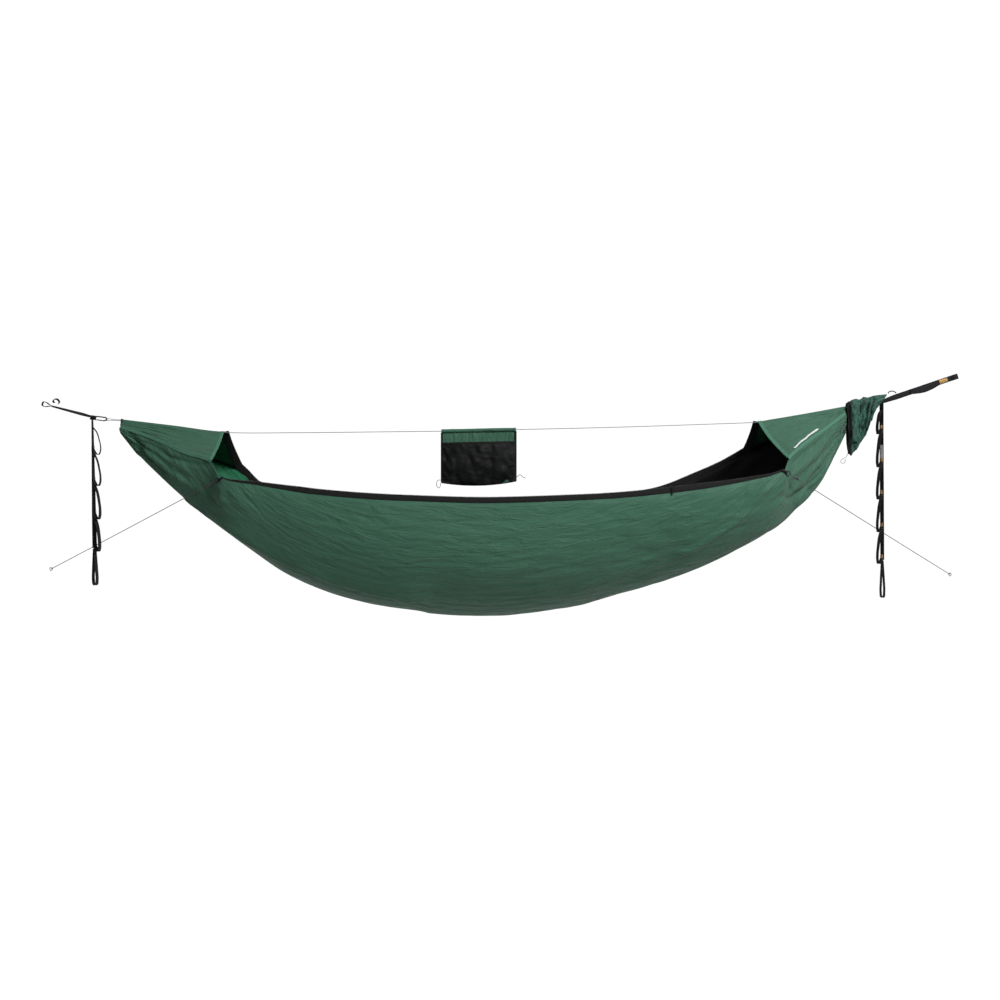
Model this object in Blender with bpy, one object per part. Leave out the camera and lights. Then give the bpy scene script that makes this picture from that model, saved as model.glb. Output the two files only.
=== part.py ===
"""A gathered-end camping hammock with a tent-like hood at each end, hung on a thin
structural ridgeline between two daisy-chain tree straps.

Metres, +Z up, +X along the hammock to the right, +Y away from the open near side.
The origin is midway between the two tree loops, which are the part's anchors.
"""
import math

import bmesh
import bpy
import numpy as np
from mathutils import Matrix, Vector

# Overall sizes
HAMMOCK_LENGTH = 2.5365     # gathered end to gathered end
BED_DEPTH = 0.70            # ridgeline to the lowest point of the bed
HALF_WIDTH = 0.305          # middle of the bed to its edge, where it is widest
ANCHOR_RISE = 0.096         # how much higher the right tree loop is
LEFT_SUSPENSION = 0.272     # left tree loop to the left gathered end
RIGHT_SUSPENSION = 0.3915   # right gathered end to the right tree loop

# Heights of the two gathered ends, below their own tree loops
LEFT_GATHER_DROP = 0.064
RIGHT_GATHER_DROP = 0.108

# Cloth, tape, webbing and cord
CLOTH = 0.003               # a sewn sheet with its lining, as a solid
SEAM_GAP = 0.0035           # between the edges of two sheets that are sewn together
CLEAR = 0.0004              # between pieces that touch
TAPE_WIDTH = 0.017
TAPE_THICK = 0.0024
TAPE_END_WIDTH = 0.005
TAPE_GAP = 0.0028           # between a tape and the cloth it is sewn to
TAPE_END_INSET = 0.004      # share of the length kept clear of each tie-out
TAPE_CORNER_GAP = 0.010     # share of the length kept clear of a hood's corner
WEBBING_WIDTH = 0.019
WEBBING_THICK = 0.0022
HITCH_WIDTH = 0.013         # webbing bunched where it goes round a carabiner
RIDGE_CORD = 0.0022
GUY_CORD = 0.0022
END_CORD = 0.0020
SMALL_CORD = 0.0020
KNOT_RADIUS = 0.005

# Hoods
LEFT_HOOD_LENGTH = 0.362    # gathered end to the peak of the opening
RIGHT_HOOD_LENGTH = 0.3055
LEFT_PEAK_DROP = 0.0484     # peak below the straight line between the gathered ends
RIGHT_PEAK_DROP = 0.0517
HOOD_SAG = 0.10             # a panel's dip, as a share of its slope length
LEFT_HOOD_DROP = 0.0010     # hood's point below the top of its gathered end
RIGHT_HOOD_DROP = 0.0085

# Tree straps and their hanging tails
TREE_LOOP_LENGTH = 0.034
TREE_LOOP_HALF = 0.008
SEAT_HALF = 0.004           # half the flat seat at the end of a tree loop
SWING_GAP = 0.0015          # between a tree loop and its strap, which turn on each other
DAISY_BULGE = 0.028
LEFT_TACKS = (0.208, 0.317, 0.434, 0.546)
RIGHT_TACKS = (0.1365, 0.252, 0.364, 0.478, 0.588)
END_LOOP_LENGTH = 0.128
END_LOOP_HALF = 0.011

# Carabiners
CARABINER_LENGTH = 0.050
CARABINER_WIDTH = 0.026
CARABINER_BAR = 0.0022      # bar radius
GATE_RADIUS = 0.0019
GATE_GAP = 0.0010

# Organizer
ORGANIZER_LEFT = -0.205
ORGANIZER_WIDTH = 0.261
ORGANIZER_HEIGHT = 0.186
ORGANIZER_SAG = 0.012       # how far the middle of the bottom edge hangs lower
POCKET_HEIGHT = 0.136
POCKET_FULLNESS = 0.018
SLEEVE_RADIUS = 0.0055
SLEEVE_WALL = 0.0016
POCKET_CLOTH = 0.0020

# Zip sliders and their pulls
SLIDER_LENGTH = 0.010
SLIDER_WIDTH = 0.0085
SLIDER_HEIGHT = 0.009
SLIDER_SLACK = 0.0009       # between a slider and each side of its tape
PULL_LENGTH = 0.026
PULL_WIDTH = 0.0045
PULL_THICK = 0.0016

# Tie-outs and guy lines
TAB_WIDTH = 0.006
TAB_LENGTH = 0.012
TAB_THICK = 0.0016
TAB_OFFSET = 0.006
RING_RADIUS = 0.0075
RING_BAR = 0.0014
LOCK_LENGTH = 0.016
LOCK_RADIUS = 0.0042
LOCK_SLACK = 0.0006
LOCK_PLACE = 0.026          # along the guy line, from its start
GUY_LOOP_RADIUS = 0.0055

# Stowed net and stuff sack
NET_THICK = 0.006
NET_OFFSET = 0.0062         # middle of the net to the middle of the bed's cloth
NET_FROM = 0.73             # shares of the hammock's length
NET_TO = 0.885
SACK_CLOTH = 0.0026
SACK_GAP = 0.0035           # gathered end to the sack's mouth

# Where everything starts, worked out from the sizes above
SPAN = LEFT_SUSPENSION + HAMMOCK_LENGTH + RIGHT_SUSPENSION
LEFT_ANCHOR = Vector((-SPAN / 2, 0, -ANCHOR_RISE / 2))
RIGHT_ANCHOR = Vector((SPAN / 2, 0, ANCHOR_RISE / 2))
GATHER_LEFT = LEFT_ANCHOR.x + LEFT_SUSPENSION
GATHER_RIGHT = RIGHT_ANCHOR.x - RIGHT_SUSPENSION
GATHER_LEFT_TOP = LEFT_ANCHOR.z - LEFT_GATHER_DROP
GATHER_RIGHT_TOP = RIGHT_ANCHOR.z - RIGHT_GATHER_DROP
SACK_MOUTH = Vector((GATHER_RIGHT + SACK_GAP, 0, GATHER_RIGHT_TOP))

# The bed hangs from three rails. Each row is: share of the length, share of the half
# width, and share of the depth below the straight line between the gathered ends.
NEAR_RAIL = (
    (0.000, 0.040, 0.026),
    (0.044, 0.165, 0.083),
    (0.097, 0.390, 0.167),
    (0.136, 0.560, 0.215),      # the hood's corner
    (0.153, 0.720, 0.298),      # the tie-out
    (0.205, 0.820, 0.338),
    (0.287, 0.918, 0.390),
    (0.405, 0.984, 0.427),
    (0.524, 1.000, 0.445),
    (0.642, 0.984, 0.439),
    (0.760, 0.925, 0.411),
    (0.856, 0.803, 0.361),
    (0.901, 0.720, 0.316),      # the tie-out
    (0.910, 0.590, 0.259),      # the hood's corner
    (0.927, 0.490, 0.206),
    (0.959, 0.280, 0.131),
    (0.993, 0.060, 0.051),
    (1.000, 0.040, 0.029),
)
FAR_RAIL = (
    (0.000, 0.040, 0.026),
    (0.044, 0.165, 0.083),
    (0.097, 0.390, 0.167),
    (0.151, 0.565, 0.240),      # the hood's corner
    (0.177, 0.720, 0.335),
    (0.236, 0.860, 0.396),
    (0.379, 0.957, 0.442),
    (0.524, 0.990, 0.459),
    (0.668, 0.957, 0.448),
    (0.743, 0.925, 0.415),
    (0.811, 0.860, 0.329),
    (0.844, 0.770, 0.277),
    (0.876, 0.575, 0.211),      # the hood's corner
    (0.910, 0.460, 0.158),
    (0.959, 0.265, 0.112),
    (0.993, 0.060, 0.051),
    (1.000, 0.040, 0.029),
)
BOTTOM_RAIL = (
    (0.000, 0.0, 0.052),
    (0.010, 0.0, 0.096),
    (0.027, 0.0, 0.172),
    (0.068, 0.0, 0.325),
    (0.110, 0.0, 0.464),
    (0.165, 0.0, 0.627),
    (0.234, 0.0, 0.802),
    (0.317, 0.0, 0.914),
    (0.399, 0.0, 0.970),
    (0.504, 0.0, 1.000),
    (0.606, 0.0, 0.977),
    (0.689, 0.0, 0.910),
    (0.772, 0.0, 0.817),
    (0.855, 0.0, 0.673),
    (0.910, 0.0, 0.543),
    (0.954, 0.0, 0.406),
    (0.976, 0.0, 0.288),
    (0.987, 0.0, 0.223),
    (1.000, 0.0, 0.126),
)
LEFT_CORNER_NEAR = 0.136
LEFT_CORNER_FAR = 0.151
RIGHT_CORNER_NEAR = 0.910
RIGHT_CORNER_FAR = 0.876
LEFT_TIEOUT = 0.153
RIGHT_TIEOUT = 0.901
SECTION_POWER = 0.8         # under 1, so the bed's walls are fuller than an ellipse
BED_FACETS = 14             # across the bed

# Cord routes, in metres
RIDGELINE_ROUTE = (
    (-1.316, 0.0, -0.1065),
    (-1.140, 0.0, -0.1275),
    (-0.966, 0.0, -0.1485),
    (-0.905, 0.0, -0.1500),
    (-0.735, 0.0, -0.1495),
    (-0.420, 0.0, -0.1465),
    (-0.205, 0.0, -0.1440),
    (0.056, 0.0, -0.1385),
    (0.420, 0.0, -0.1298),
    (0.730, 0.0, -0.1195),
    (0.860, 0.0, -0.1148),
    (0.905, 0.0, -0.1125),
    (0.950, 0.0, -0.1055),
    (1.060, 0.0, -0.0870),
    (1.2105, 0.0, -0.0595),
)
SACK_CORD_ROUTE = (
    (1.2150, -0.0150, -0.2230),
    (1.2120, -0.0160, -0.2285),
    (1.2075, -0.0165, -0.2350),
    (1.2020, -0.0165, -0.2385),
    (1.1935, -0.0165, -0.2430),
    (1.1895, -0.0165, -0.2500),
    (1.1930, -0.0165, -0.2565),
    (1.2000, -0.0165, -0.2560),
    (1.2045, -0.0165, -0.2500),
    (1.2055, -0.0165, -0.2420),
)
ORGANIZER_LEFT_CORD_ROUTE = (
    (-0.2085, -0.0045, -0.3165),
    (-0.2130, -0.0045, -0.3150),
    (-0.2180, -0.0045, -0.3170),
    (-0.2215, -0.0045, -0.3270),
    (-0.2195, -0.0045, -0.3385),
    (-0.2140, -0.0045, -0.3425),
    (-0.2090, -0.0045, -0.3370),
    (-0.2085, -0.0045, -0.3260),
)
ORGANIZER_RIGHT_CORD_ROUTE = (
    (0.0595, -0.0045, -0.3050),
    (0.0640, -0.0045, -0.3000),
    (0.0690, -0.0045, -0.2965),
    (0.0740, -0.0045, -0.2990),
    (0.0810, -0.0045, -0.3050),
    (0.0900, -0.0045, -0.3085),
)
LEFT_GUY_END = Vector((-1.6222, 0.180, -0.6355))
RIGHT_GUY_END = Vector((1.6258, 0.180, -0.6554))


# --- helpers -------------------------------------------------------------------

def clear_scene():
    for old in list(bpy.data.objects):
        bpy.data.objects.remove(old)


def make_material(name, colour, roughness, metallic=0.0):
    material = bpy.data.materials.new(name)
    material.use_nodes = True
    shader = material.node_tree.nodes["Principled BSDF"]
    shader.inputs["Base Color"].default_value = (*colour, 1)
    shader.inputs["Roughness"].default_value = roughness
    shader.inputs["Metallic"].default_value = metallic
    material.diffuse_color = (*colour, 1)
    return material


def make_pivot(name, place, parent=None):
    """An empty on a joint's axis, which the joint's pieces hang on."""
    pivot = bpy.data.objects.new(name, None)
    pivot.empty_display_size = 0.03
    pivot.location = Vector(place) - (parent_place(parent) if parent else Vector())
    pivot.parent = parent
    bpy.context.collection.objects.link(pivot)
    return pivot


def parent_place(parent):
    place = Vector()
    while parent:
        place += parent.location
        parent = parent.parent
    return place


def add_piece(name, data, material, pivot):
    """Links a mesh or curve drawn in world positions, with its origin on its pivot."""
    place = parent_place(pivot)
    data.transform(Matrix.Translation(-place))
    data.materials.append(material)
    piece = bpy.data.objects.new(name, data)
    piece.parent = pivot
    bpy.context.collection.objects.link(piece)
    return piece


def mesh_from(name, points, faces, smooth=True):
    """A mesh whose faces are turned to point outwards."""
    mesh = bpy.data.meshes.new(name)
    mesh.from_pydata([tuple(p) for p in points], [], faces)
    work = bmesh.new()
    work.from_mesh(mesh)
    bmesh.ops.recalc_face_normals(work, faces=work.faces)
    work.to_mesh(mesh)
    work.free()
    if smooth:
        mesh.shade_smooth()
        mesh.set_sharp_from_angle(angle=math.radians(40))
    return mesh


def smooth_points(points, count):
    """Even steps along a smooth curve through the given points."""
    knots = np.array(points, float)
    steps = np.linalg.norm(np.diff(knots, axis=0), axis=1)
    slopes = np.diff(knots, axis=0) / steps[:, None]
    tangents = np.vstack([slopes[:1], knots[1:-1], slopes[-1:]])
    for i in range(1, len(knots) - 1):
        before, after = steps[i - 1], steps[i]
        tangents[i] = (slopes[i - 1] * after + slopes[i] * before) / (before + after)
    fine = []
    for i, step in enumerate(steps):
        for t in np.linspace(0, 1, 24, endpoint=False):
            fine.append(
                (2 * t**3 - 3 * t**2 + 1) * knots[i]
                + (t**3 - 2 * t**2 + t) * step * tangents[i]
                + (3 * t**2 - 2 * t**3) * knots[i + 1]
                + (t**3 - t**2) * step * tangents[i + 1]
            )
    fine = np.array([*fine, knots[-1]])
    along = np.concatenate([[0], np.cumsum(np.linalg.norm(np.diff(fine, axis=0), axis=1))])
    at = np.linspace(0, along[-1], count)
    return np.column_stack([np.interp(at, along, fine[:, k]) for k in range(3)])


def eased(at, places, values):
    """A monotone cubic through the values, which never swings past them."""
    places, values = np.array(places), np.array(values)
    gaps = np.diff(places)
    slopes = np.diff(values) / gaps
    tangents = np.concatenate([slopes[:1], np.zeros(len(places) - 2), slopes[-1:]])
    for i in range(1, len(places) - 1):
        if slopes[i - 1] * slopes[i] > 0:
            first = 2 * gaps[i] + gaps[i - 1]
            second = gaps[i] + 2 * gaps[i - 1]
            tangents[i] = (first + second) / (first / slopes[i - 1] + second / slopes[i])
    i = int(np.clip(np.searchsorted(places, at) - 1, 0, len(gaps) - 1))
    t = (at - places[i]) / gaps[i]
    return float(
        (2 * t**3 - 3 * t**2 + 1) * values[i]
        + (t**3 - 2 * t**2 + t) * gaps[i] * tangents[i]
        + (3 * t**2 - 2 * t**3) * values[i + 1]
        + (t**3 - t**2) * gaps[i] * tangents[i + 1]
    )


def add_cord(name, points, count, diameter, material, pivot):
    """A round cord: a poly curve with a round bevel and filled caps."""
    path = smooth_points(points, count)
    curve = bpy.data.curves.new(name, "CURVE")
    curve.dimensions = "3D"
    curve.bevel_depth = diameter / 2
    curve.bevel_resolution = 2
    curve.use_fill_caps = True
    spline = curve.splines.new("POLY")
    spline.points.add(count - 1)
    for point, place in zip(spline.points, path):
        point.co = (*place, 1)
    return add_piece(name, curve, material, pivot)


def ribbon_mesh(name, path, across, width, thickness):
    """Flat webbing along a path. across and width are one value, or one for each point."""
    path = [Vector(p) for p in path]
    count = len(path)
    one_way = np.ndim(across) == 1
    across = [Vector(across)] * count if one_way else [Vector(a) for a in across]
    widths = width if np.ndim(width) else [width] * count
    points, faces = [], []
    for i, place in enumerate(path):
        before = (place - path[max(i - 1, 0)]).normalized()
        after = (path[min(i + 1, count - 1)] - place).normalized()
        along = (before + after).normalized()
        side = (across[i] - along * across[i].dot(along)).normalized()
        up = along.cross(side)
        square = (after if i == 0 else before).cross(side).normalized()
        lift = up * (thickness / 2 / max(0.6, abs(up.dot(square))))
        reach = side * (widths[i] / 2)
        points += [place + reach + lift, place - reach + lift]
        points += [place - reach - lift, place + reach - lift]
    for i in range(count - 1):
        for k in range(4):
            j = (k + 1) % 4
            faces.append((4 * i + k, 4 * i + j, 4 * i + 4 + j, 4 * i + 4 + k))
    faces.append((0, 1, 2, 3))
    faces.append(tuple(4 * (count - 1) + k for k in range(4)))
    return mesh_from(name, points, faces)


def add_sheet(name, rows, thickness, material, pivot):
    """A sheet through a grid of points, given its thickness by a Solidify modifier."""
    wide = len(rows[0])
    points = [tuple(p) for row in rows for p in row]
    faces = []
    for i in range(len(rows) - 1):
        for j in range(wide - 1):
            a = i * wide + j
            faces.append((a, a + 1, a + wide + 1, a + wide))
    sheet = add_piece(name, mesh_from(name, points, faces), material, pivot)
    solidify = sheet.modifiers.new("thickness", "SOLIDIFY")
    solidify.thickness = thickness
    solidify.offset = 0
    return sheet


def turned_mesh(name, start, along, profile, sides):
    """A solid turned about an axis. The profile's rows are distance along it and radius."""
    along = Vector(along).normalized()
    out = along.orthogonal().normalized()
    turn = along.cross(out)
    points, faces, rings = [], [], []
    for distance, radius in profile:
        middle = Vector(start) + along * distance
        if radius == 0:
            rings.append([len(points)])
            points.append(middle)
            continue
        rings.append(list(range(len(points), len(points) + sides)))
        for k in range(sides):
            angle = 2 * math.pi * k / sides
            points.append(middle + (out * math.cos(angle) + turn * math.sin(angle)) * radius)
    for a, b in zip(rings, rings[1:]):
        for k in range(sides):
            j = (k + 1) % sides
            corners = [a[k % len(a)], a[j % len(a)], b[j % len(b)], b[k % len(b)]]
            faces.append(tuple(dict.fromkeys(corners)))
    if len(rings[0]) > 1 and profile[0] == profile[-1]:
        first, last = rings[0], rings[-1]
        swap = dict(zip(last, first))
        faces = [tuple(swap.get(i, i) for i in face) for face in faces]
        points = points[: last[0]]
    return mesh_from(name, points, faces)


def ring_mesh(name, middle, in_plane, other, radius, bar, steps=18, sides=8):
    """A round ring of round bar, in the plane of the two directions."""
    in_plane, other = Vector(in_plane).normalized(), Vector(other).normalized()
    normal = in_plane.cross(other)
    points, faces = [], []
    for i in range(steps):
        angle = 2 * math.pi * i / steps
        out = in_plane * math.cos(angle) + other * math.sin(angle)
        for k in range(sides):
            turn = 2 * math.pi * k / sides
            points.append(
                Vector(middle)
                + out * (radius + bar * math.cos(turn))
                + normal * (bar * math.sin(turn))
            )
    for i in range(steps):
        for k in range(sides):
            a, b = i * sides, ((i + 1) % steps) * sides
            j = (k + 1) % sides
            faces.append((a + k, a + j, b + j, b + k))
    return mesh_from(name, points, faces)


# --- the bed's shape -------------------------------------------------------------

def line_height(share):
    return GATHER_LEFT_TOP + (GATHER_RIGHT_TOP - GATHER_LEFT_TOP) * share


def rail_point(rail, share, side):
    places = [row[0] for row in rail]
    out = eased(share, places, [row[1] for row in rail])
    down = eased(share, places, [row[2] for row in rail])
    return Vector(
        (
            GATHER_LEFT + share * HAMMOCK_LENGTH,
            side * out * HALF_WIDTH,
            line_height(share) - down * BED_DEPTH,
        )
    )


def near_edge(share):
    return rail_point(NEAR_RAIL, share, -1)


def far_edge(share):
    return rail_point(FAR_RAIL, share, 1)


def bed_point(share, angle):
    """A point of the bed: angle 0 is the near edge, pi the far edge."""
    near, far = near_edge(share), far_edge(share)
    low = rail_point(BOTTOM_RAIL, share, 0).z
    part = (1 - math.cos(angle)) / 2
    height = near.z + (far.z - near.z) * part
    depth = (near.z + far.z) / 2 - low
    sunk = max(math.sin(angle), 0.0) ** SECTION_POWER
    return Vector((near.x, near.y + (far.y - near.y) * part, height - depth * sunk))


def bed_stations():
    """The near rail's places, with more between those that are far apart."""
    places = sorted({row[0] for row in NEAR_RAIL} | {row[0] for row in BOTTOM_RAIL[:5]})
    stations = [places[0]]
    for place in places[1:]:
        parts = 1 + int((place - stations[-1]) / 0.05)
        first = stations[-1]
        stations += [first + (place - first) * (k + 1) / parts for k in range(parts)]
    return stations


def build_bed(cloth, pivot):
    angles = [math.pi * k / BED_FACETS for k in range(BED_FACETS + 1)]
    rows = [[bed_point(share, angle) for angle in angles] for share in bed_stations()]
    add_sheet("bed", rows, CLOTH, cloth, pivot)


def hood_rows(end, corner_near, corner_far, peak, top, steps=9):
    """Rows of a tent-like hood, from the gathered end to the edge of its opening."""
    rows = []
    for i in range(steps + 1):
        part = i / steps
        near = near_edge(end + (corner_near - end) * part)
        far = far_edge(end + (corner_far - end) * part)
        ridge = top + (peak - top) * part
        row = []
        for foot, order in ((near, (0, 1, 2, 3)), (far, (3, 2, 1, 0))):
            slope = ridge - foot
            foot = foot + slope.normalized() * SEAM_GAP
            for k in order:
                share = k / 4
                sag = Vector((0, 0, -HOOD_SAG * slope.length * share * (1 - share)))
                row.append(foot + (ridge - foot) * share + sag)
            if order[0] == 0:
                row.append(ridge)
        rows.append(row)
    return rows


def left_peak():
    share = LEFT_HOOD_LENGTH / HAMMOCK_LENGTH
    return Vector((GATHER_LEFT + LEFT_HOOD_LENGTH, 0, line_height(share) - LEFT_PEAK_DROP))


def right_peak():
    share = 1 - RIGHT_HOOD_LENGTH / HAMMOCK_LENGTH
    return Vector((GATHER_RIGHT - RIGHT_HOOD_LENGTH, 0, line_height(share) - RIGHT_PEAK_DROP))


def build_hoods(cloth, pivot):
    left_top = Vector((GATHER_LEFT, 0, GATHER_LEFT_TOP - LEFT_HOOD_DROP))
    rows = hood_rows(0, LEFT_CORNER_NEAR, LEFT_CORNER_FAR, left_peak(), left_top)
    add_sheet("left_hood", rows, CLOTH, cloth, pivot)
    right_top = Vector((GATHER_RIGHT, 0, GATHER_RIGHT_TOP - RIGHT_HOOD_DROP))
    rows = hood_rows(1, RIGHT_CORNER_NEAR, RIGHT_CORNER_FAR, right_peak(), right_top)
    add_sheet("right_hood", rows, CLOTH, cloth, pivot)


# --- zip tapes, sliders and net --------------------------------------------------

def tape_width(share, first, last):
    """Full width in the middle of a run, narrow at its two ends."""
    from_end = min(share - first, last - share) / (last - first)
    grown = min(1.0, max(0.0, from_end / 0.14))
    return TAPE_END_WIDTH + (TAPE_WIDTH - TAPE_END_WIDTH) * grown


def near_tape_line(share):
    """The middle of the near tape, which stands on the bed's edge."""
    width = tape_width(share, LEFT_TIEOUT, RIGHT_TIEOUT)
    return near_edge(share) + Vector((0, 0, CLOTH / 2 + TAPE_GAP + width / 2)), width


def build_near_tape(tape, pivot):
    count = 30
    first = LEFT_TIEOUT + TAPE_END_INSET
    last = RIGHT_TIEOUT - TAPE_END_INSET
    path, widths = [], []
    for k in range(count):
        place, width = near_tape_line(first + (last - first) * k / (count - 1))
        path.append(place)
        widths.append(width)
    mesh = ribbon_mesh("near_zip_tape", path, (0, 0, 1), widths, TAPE_THICK)
    add_piece("near_zip_tape", mesh, tape, pivot)


def hem_tape_rows(corner, peak, hand, steps=7):
    """The tape on a hood's far hem, from the peak down: places, directions and widths."""
    foot = far_edge(corner)
    rows = []
    for k in range(steps):
        share = 0.05 + 0.90 * k / (steps - 1)
        place = peak + (foot - peak) * share
        place.z -= HOOD_SAG * (foot - peak).length * share * (1 - share)
        away = Vector((hand, 0, 0.25 + 0.5 * share)).normalized()
        width = TAPE_END_WIDTH + (TAPE_WIDTH - TAPE_END_WIDTH) * (0.5 + 0.5 * share)
        rows.append((place, away, width))
    return rows


def edge_tape_rows(steps=26):
    """The tape on the bed's far edge, which leans over to meet the two hems' tapes."""
    rows = []
    first = LEFT_CORNER_FAR + TAPE_CORNER_GAP
    last = RIGHT_CORNER_FAR - TAPE_CORNER_GAP
    for k in range(steps):
        part = k / (steps - 1)
        lean = 0.8 * max(0.0, 1 - part / 0.12) - 0.8 * max(0.0, 1 - (1 - part) / 0.12)
        away = Vector((lean, 0, 1)).normalized()
        rows.append((far_edge(first + (last - first) * part), away, TAPE_WIDTH))
    return rows


def far_tape_path():
    """Down the left hood's far hem, along the bed's edge, and up the right hood's."""
    rows = hem_tape_rows(LEFT_CORNER_FAR, left_peak(), 1)
    rows += edge_tape_rows()
    rows += hem_tape_rows(RIGHT_CORNER_FAR, right_peak(), -1)[::-1]
    path = [place + away * (CLOTH / 2 + TAPE_GAP + width / 2) for place, away, width in rows]
    return path, [row[1] for row in rows], [row[2] for row in rows]


def build_far_tape(tape, pivot):
    path, across, widths = far_tape_path()
    mesh = ribbon_mesh("far_zip_tape", path, across, widths, TAPE_THICK)
    add_piece("far_zip_tape", mesh, tape, pivot)


def build_slider(prefix, middle, along, metal, slider_pivot, pull_pivot):
    """A slider astride the top of a tape, with its pull hanging on the outer side."""
    along, up = Vector(along).normalized(), Vector((0, 0, 1))
    up = (up - along * up.dot(along)).normalized()
    side = along.cross(up)
    slot = TAPE_THICK / 2 + SLIDER_SLACK
    half = SLIDER_WIDTH / 2
    roof = SLIDER_SLACK
    top = roof + half - slot
    outline = (
        (-half, top), (-half, top - SLIDER_HEIGHT), (-slot, top - SLIDER_HEIGHT), (-slot, roof),
        (slot, roof), (slot, top - SLIDER_HEIGHT), (half, top - SLIDER_HEIGHT), (half, top),
    )
    points = []
    for shift in (-SLIDER_LENGTH / 2, SLIDER_LENGTH / 2):
        points += [middle + along * shift + side * a + up * b for a, b in outline]
    count = len(outline)
    faces = [tuple(range(count)), tuple(range(count, 2 * count))]
    for k in range(count):
        j = (k + 1) % count
        faces.append((k, j, count + j, count + k))
    mesh = mesh_from(prefix + "_zip_slider", points, faces, smooth=False)
    add_piece(prefix + "_zip_slider", mesh, metal, slider_pivot)

    hang = Vector((0, 0, -1))
    start = parent_place(pull_pivot) + hang * 0.0005
    path = [start + hang * PULL_LENGTH * k / 4 for k in range(5)]
    widths = [PULL_WIDTH * share for share in (0.7, 0.75, 0.9, 1.0, 0.7)]
    mesh = ribbon_mesh(prefix + "_zip_pull", path, along, widths, PULL_THICK)
    add_piece(prefix + "_zip_pull", mesh, metal, pull_pivot)


def build_net(net, pivot):
    """The stowed insect net: a soft layer lying on the inside of the far right wall."""
    angles = [math.pi * k / BED_FACETS for k in range(9, BED_FACETS)]
    rows = []
    for share in bed_stations():
        if not NET_FROM <= share <= NET_TO:
            continue
        row = []
        for angle in angles:
            place = bed_point(share, angle)
            along = bed_point(share + 0.004, angle) - bed_point(share - 0.004, angle)
            down = bed_point(share, angle - 0.04) - bed_point(share, angle + 0.04)
            inward = along.cross(down).normalized()
            if inward.z < 0:
                inward = -inward
            row.append(place + inward * NET_OFFSET)
        rows.append(row)
    add_sheet("insect_net", rows, NET_THICK, net, pivot)


# --- organizer -------------------------------------------------------------------

def ridge_height(x):
    route = np.array(RIDGELINE_ROUTE)
    return eased(x, list(route[:, 0]), list(route[:, 2]))


def organizer_axis():
    left = Vector((ORGANIZER_LEFT, 0, ridge_height(ORGANIZER_LEFT)))
    right_x = ORGANIZER_LEFT + ORGANIZER_WIDTH
    return left, Vector((right_x, 0, ridge_height(right_x)))


def build_sleeve(cloth, pivot):
    left, right = organizer_axis()
    length = (right - left).length
    inner = SLEEVE_RADIUS - SLEEVE_WALL
    outer = SLEEVE_RADIUS
    profile = ((0, inner), (0, outer), (length, outer), (length, inner), (0, inner))
    mesh = turned_mesh("organizer_sleeve", left, right - left, profile, 12)
    add_piece("organizer_sleeve", mesh, cloth, pivot)


def organizer_rows(top_drop, height, columns, levels, fullness):
    """Rows of points down the organizer, with its bottom edge hanging lower in the middle."""
    left, right = organizer_axis()
    rows = []
    for k in range(levels + 1):
        level = k / levels
        row = []
        for i in range(columns + 1):
            part = i / columns
            top = left + (right - left) * part
            sag = ORGANIZER_SAG * 4 * part * (1 - part)
            down = top_drop + (height + sag) * level
            across = math.sin(math.pi * part) ** 0.6
            belly = across * math.sin(math.pi * (0.25 + 0.75 * level)) ** 0.7
            row.append(top + Vector((0, -fullness * belly, -down)))
        rows.append(row)
    return rows


def build_organizer_panel(cloth, pivot):
    top_drop = SLEEVE_RADIUS + CLEAR
    rows = organizer_rows(top_drop, ORGANIZER_HEIGHT - top_drop - ORGANIZER_SAG / 2, 10, 5, 0)
    add_sheet("organizer_panel", rows, POCKET_CLOTH, cloth, pivot)


def build_organizer_pocket(mesh_cloth, pivot):
    top_drop = ORGANIZER_HEIGHT - ORGANIZER_SAG / 2 - POCKET_HEIGHT
    rows = organizer_rows(top_drop, POCKET_HEIGHT, 12, 7, POCKET_FULLNESS)
    gap = Vector((0, -(POCKET_CLOTH + CLEAR), 0))
    rows = [[point + gap for point in row] for row in rows]
    add_sheet("organizer_pocket", rows, POCKET_CLOTH, mesh_cloth, pivot)


# --- suspension --------------------------------------------------------------------

def build_tree_loop(name, anchor, neck, across, webbing, pivot):
    """The sewn loop at a strap's tree end, a hairpin with a flat seat at its far end."""
    out = (anchor - neck).normalized()
    across = Vector(across).normalized()
    other = out.cross(across)
    half = WEBBING_THICK / 2
    reach = (anchor - neck).length + half
    legs = half + CLEAR
    upper = (
        (0, legs), (0.30 * reach, legs + 0.001),
        (0.62 * reach, TREE_LOOP_HALF - 0.0008), (0.84 * reach, TREE_LOOP_HALF),
        (0.96 * reach, TREE_LOOP_HALF - 0.0014), (reach, SEAT_HALF),
    )
    outline = [*upper, *[(a, -b) for a, b in upper[::-1]]]
    path = [neck + out * a + other * b for a, b in outline]
    add_piece(name, ribbon_mesh(name, path, across, WEBBING_WIDTH, WEBBING_THICK), webbing, pivot)


def strap_start(anchor, bar):
    """Where a tree loop's legs end, and where the strap starts beyond the swing gap."""
    towards = (bar - anchor).normalized()
    neck = anchor + towards * TREE_LOOP_LENGTH
    return neck, neck + towards * SWING_GAP


def hitch_path(bar, along, normal, leave):
    """A strap's way round a carabiner's bar, from the side towards the tree."""
    rows = ((leave, 0.0041), (0.0045, 0.0044), (-0.0035, 0.0040), (-0.0064, 0.0022),
            (-0.0070, 0.0), (-0.0064, -0.0022), (-0.0035, -0.0040), (0.0045, -0.0044),
            (leave, -0.0048))
    return [bar + along * a - normal * b for a, b in rows]


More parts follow.
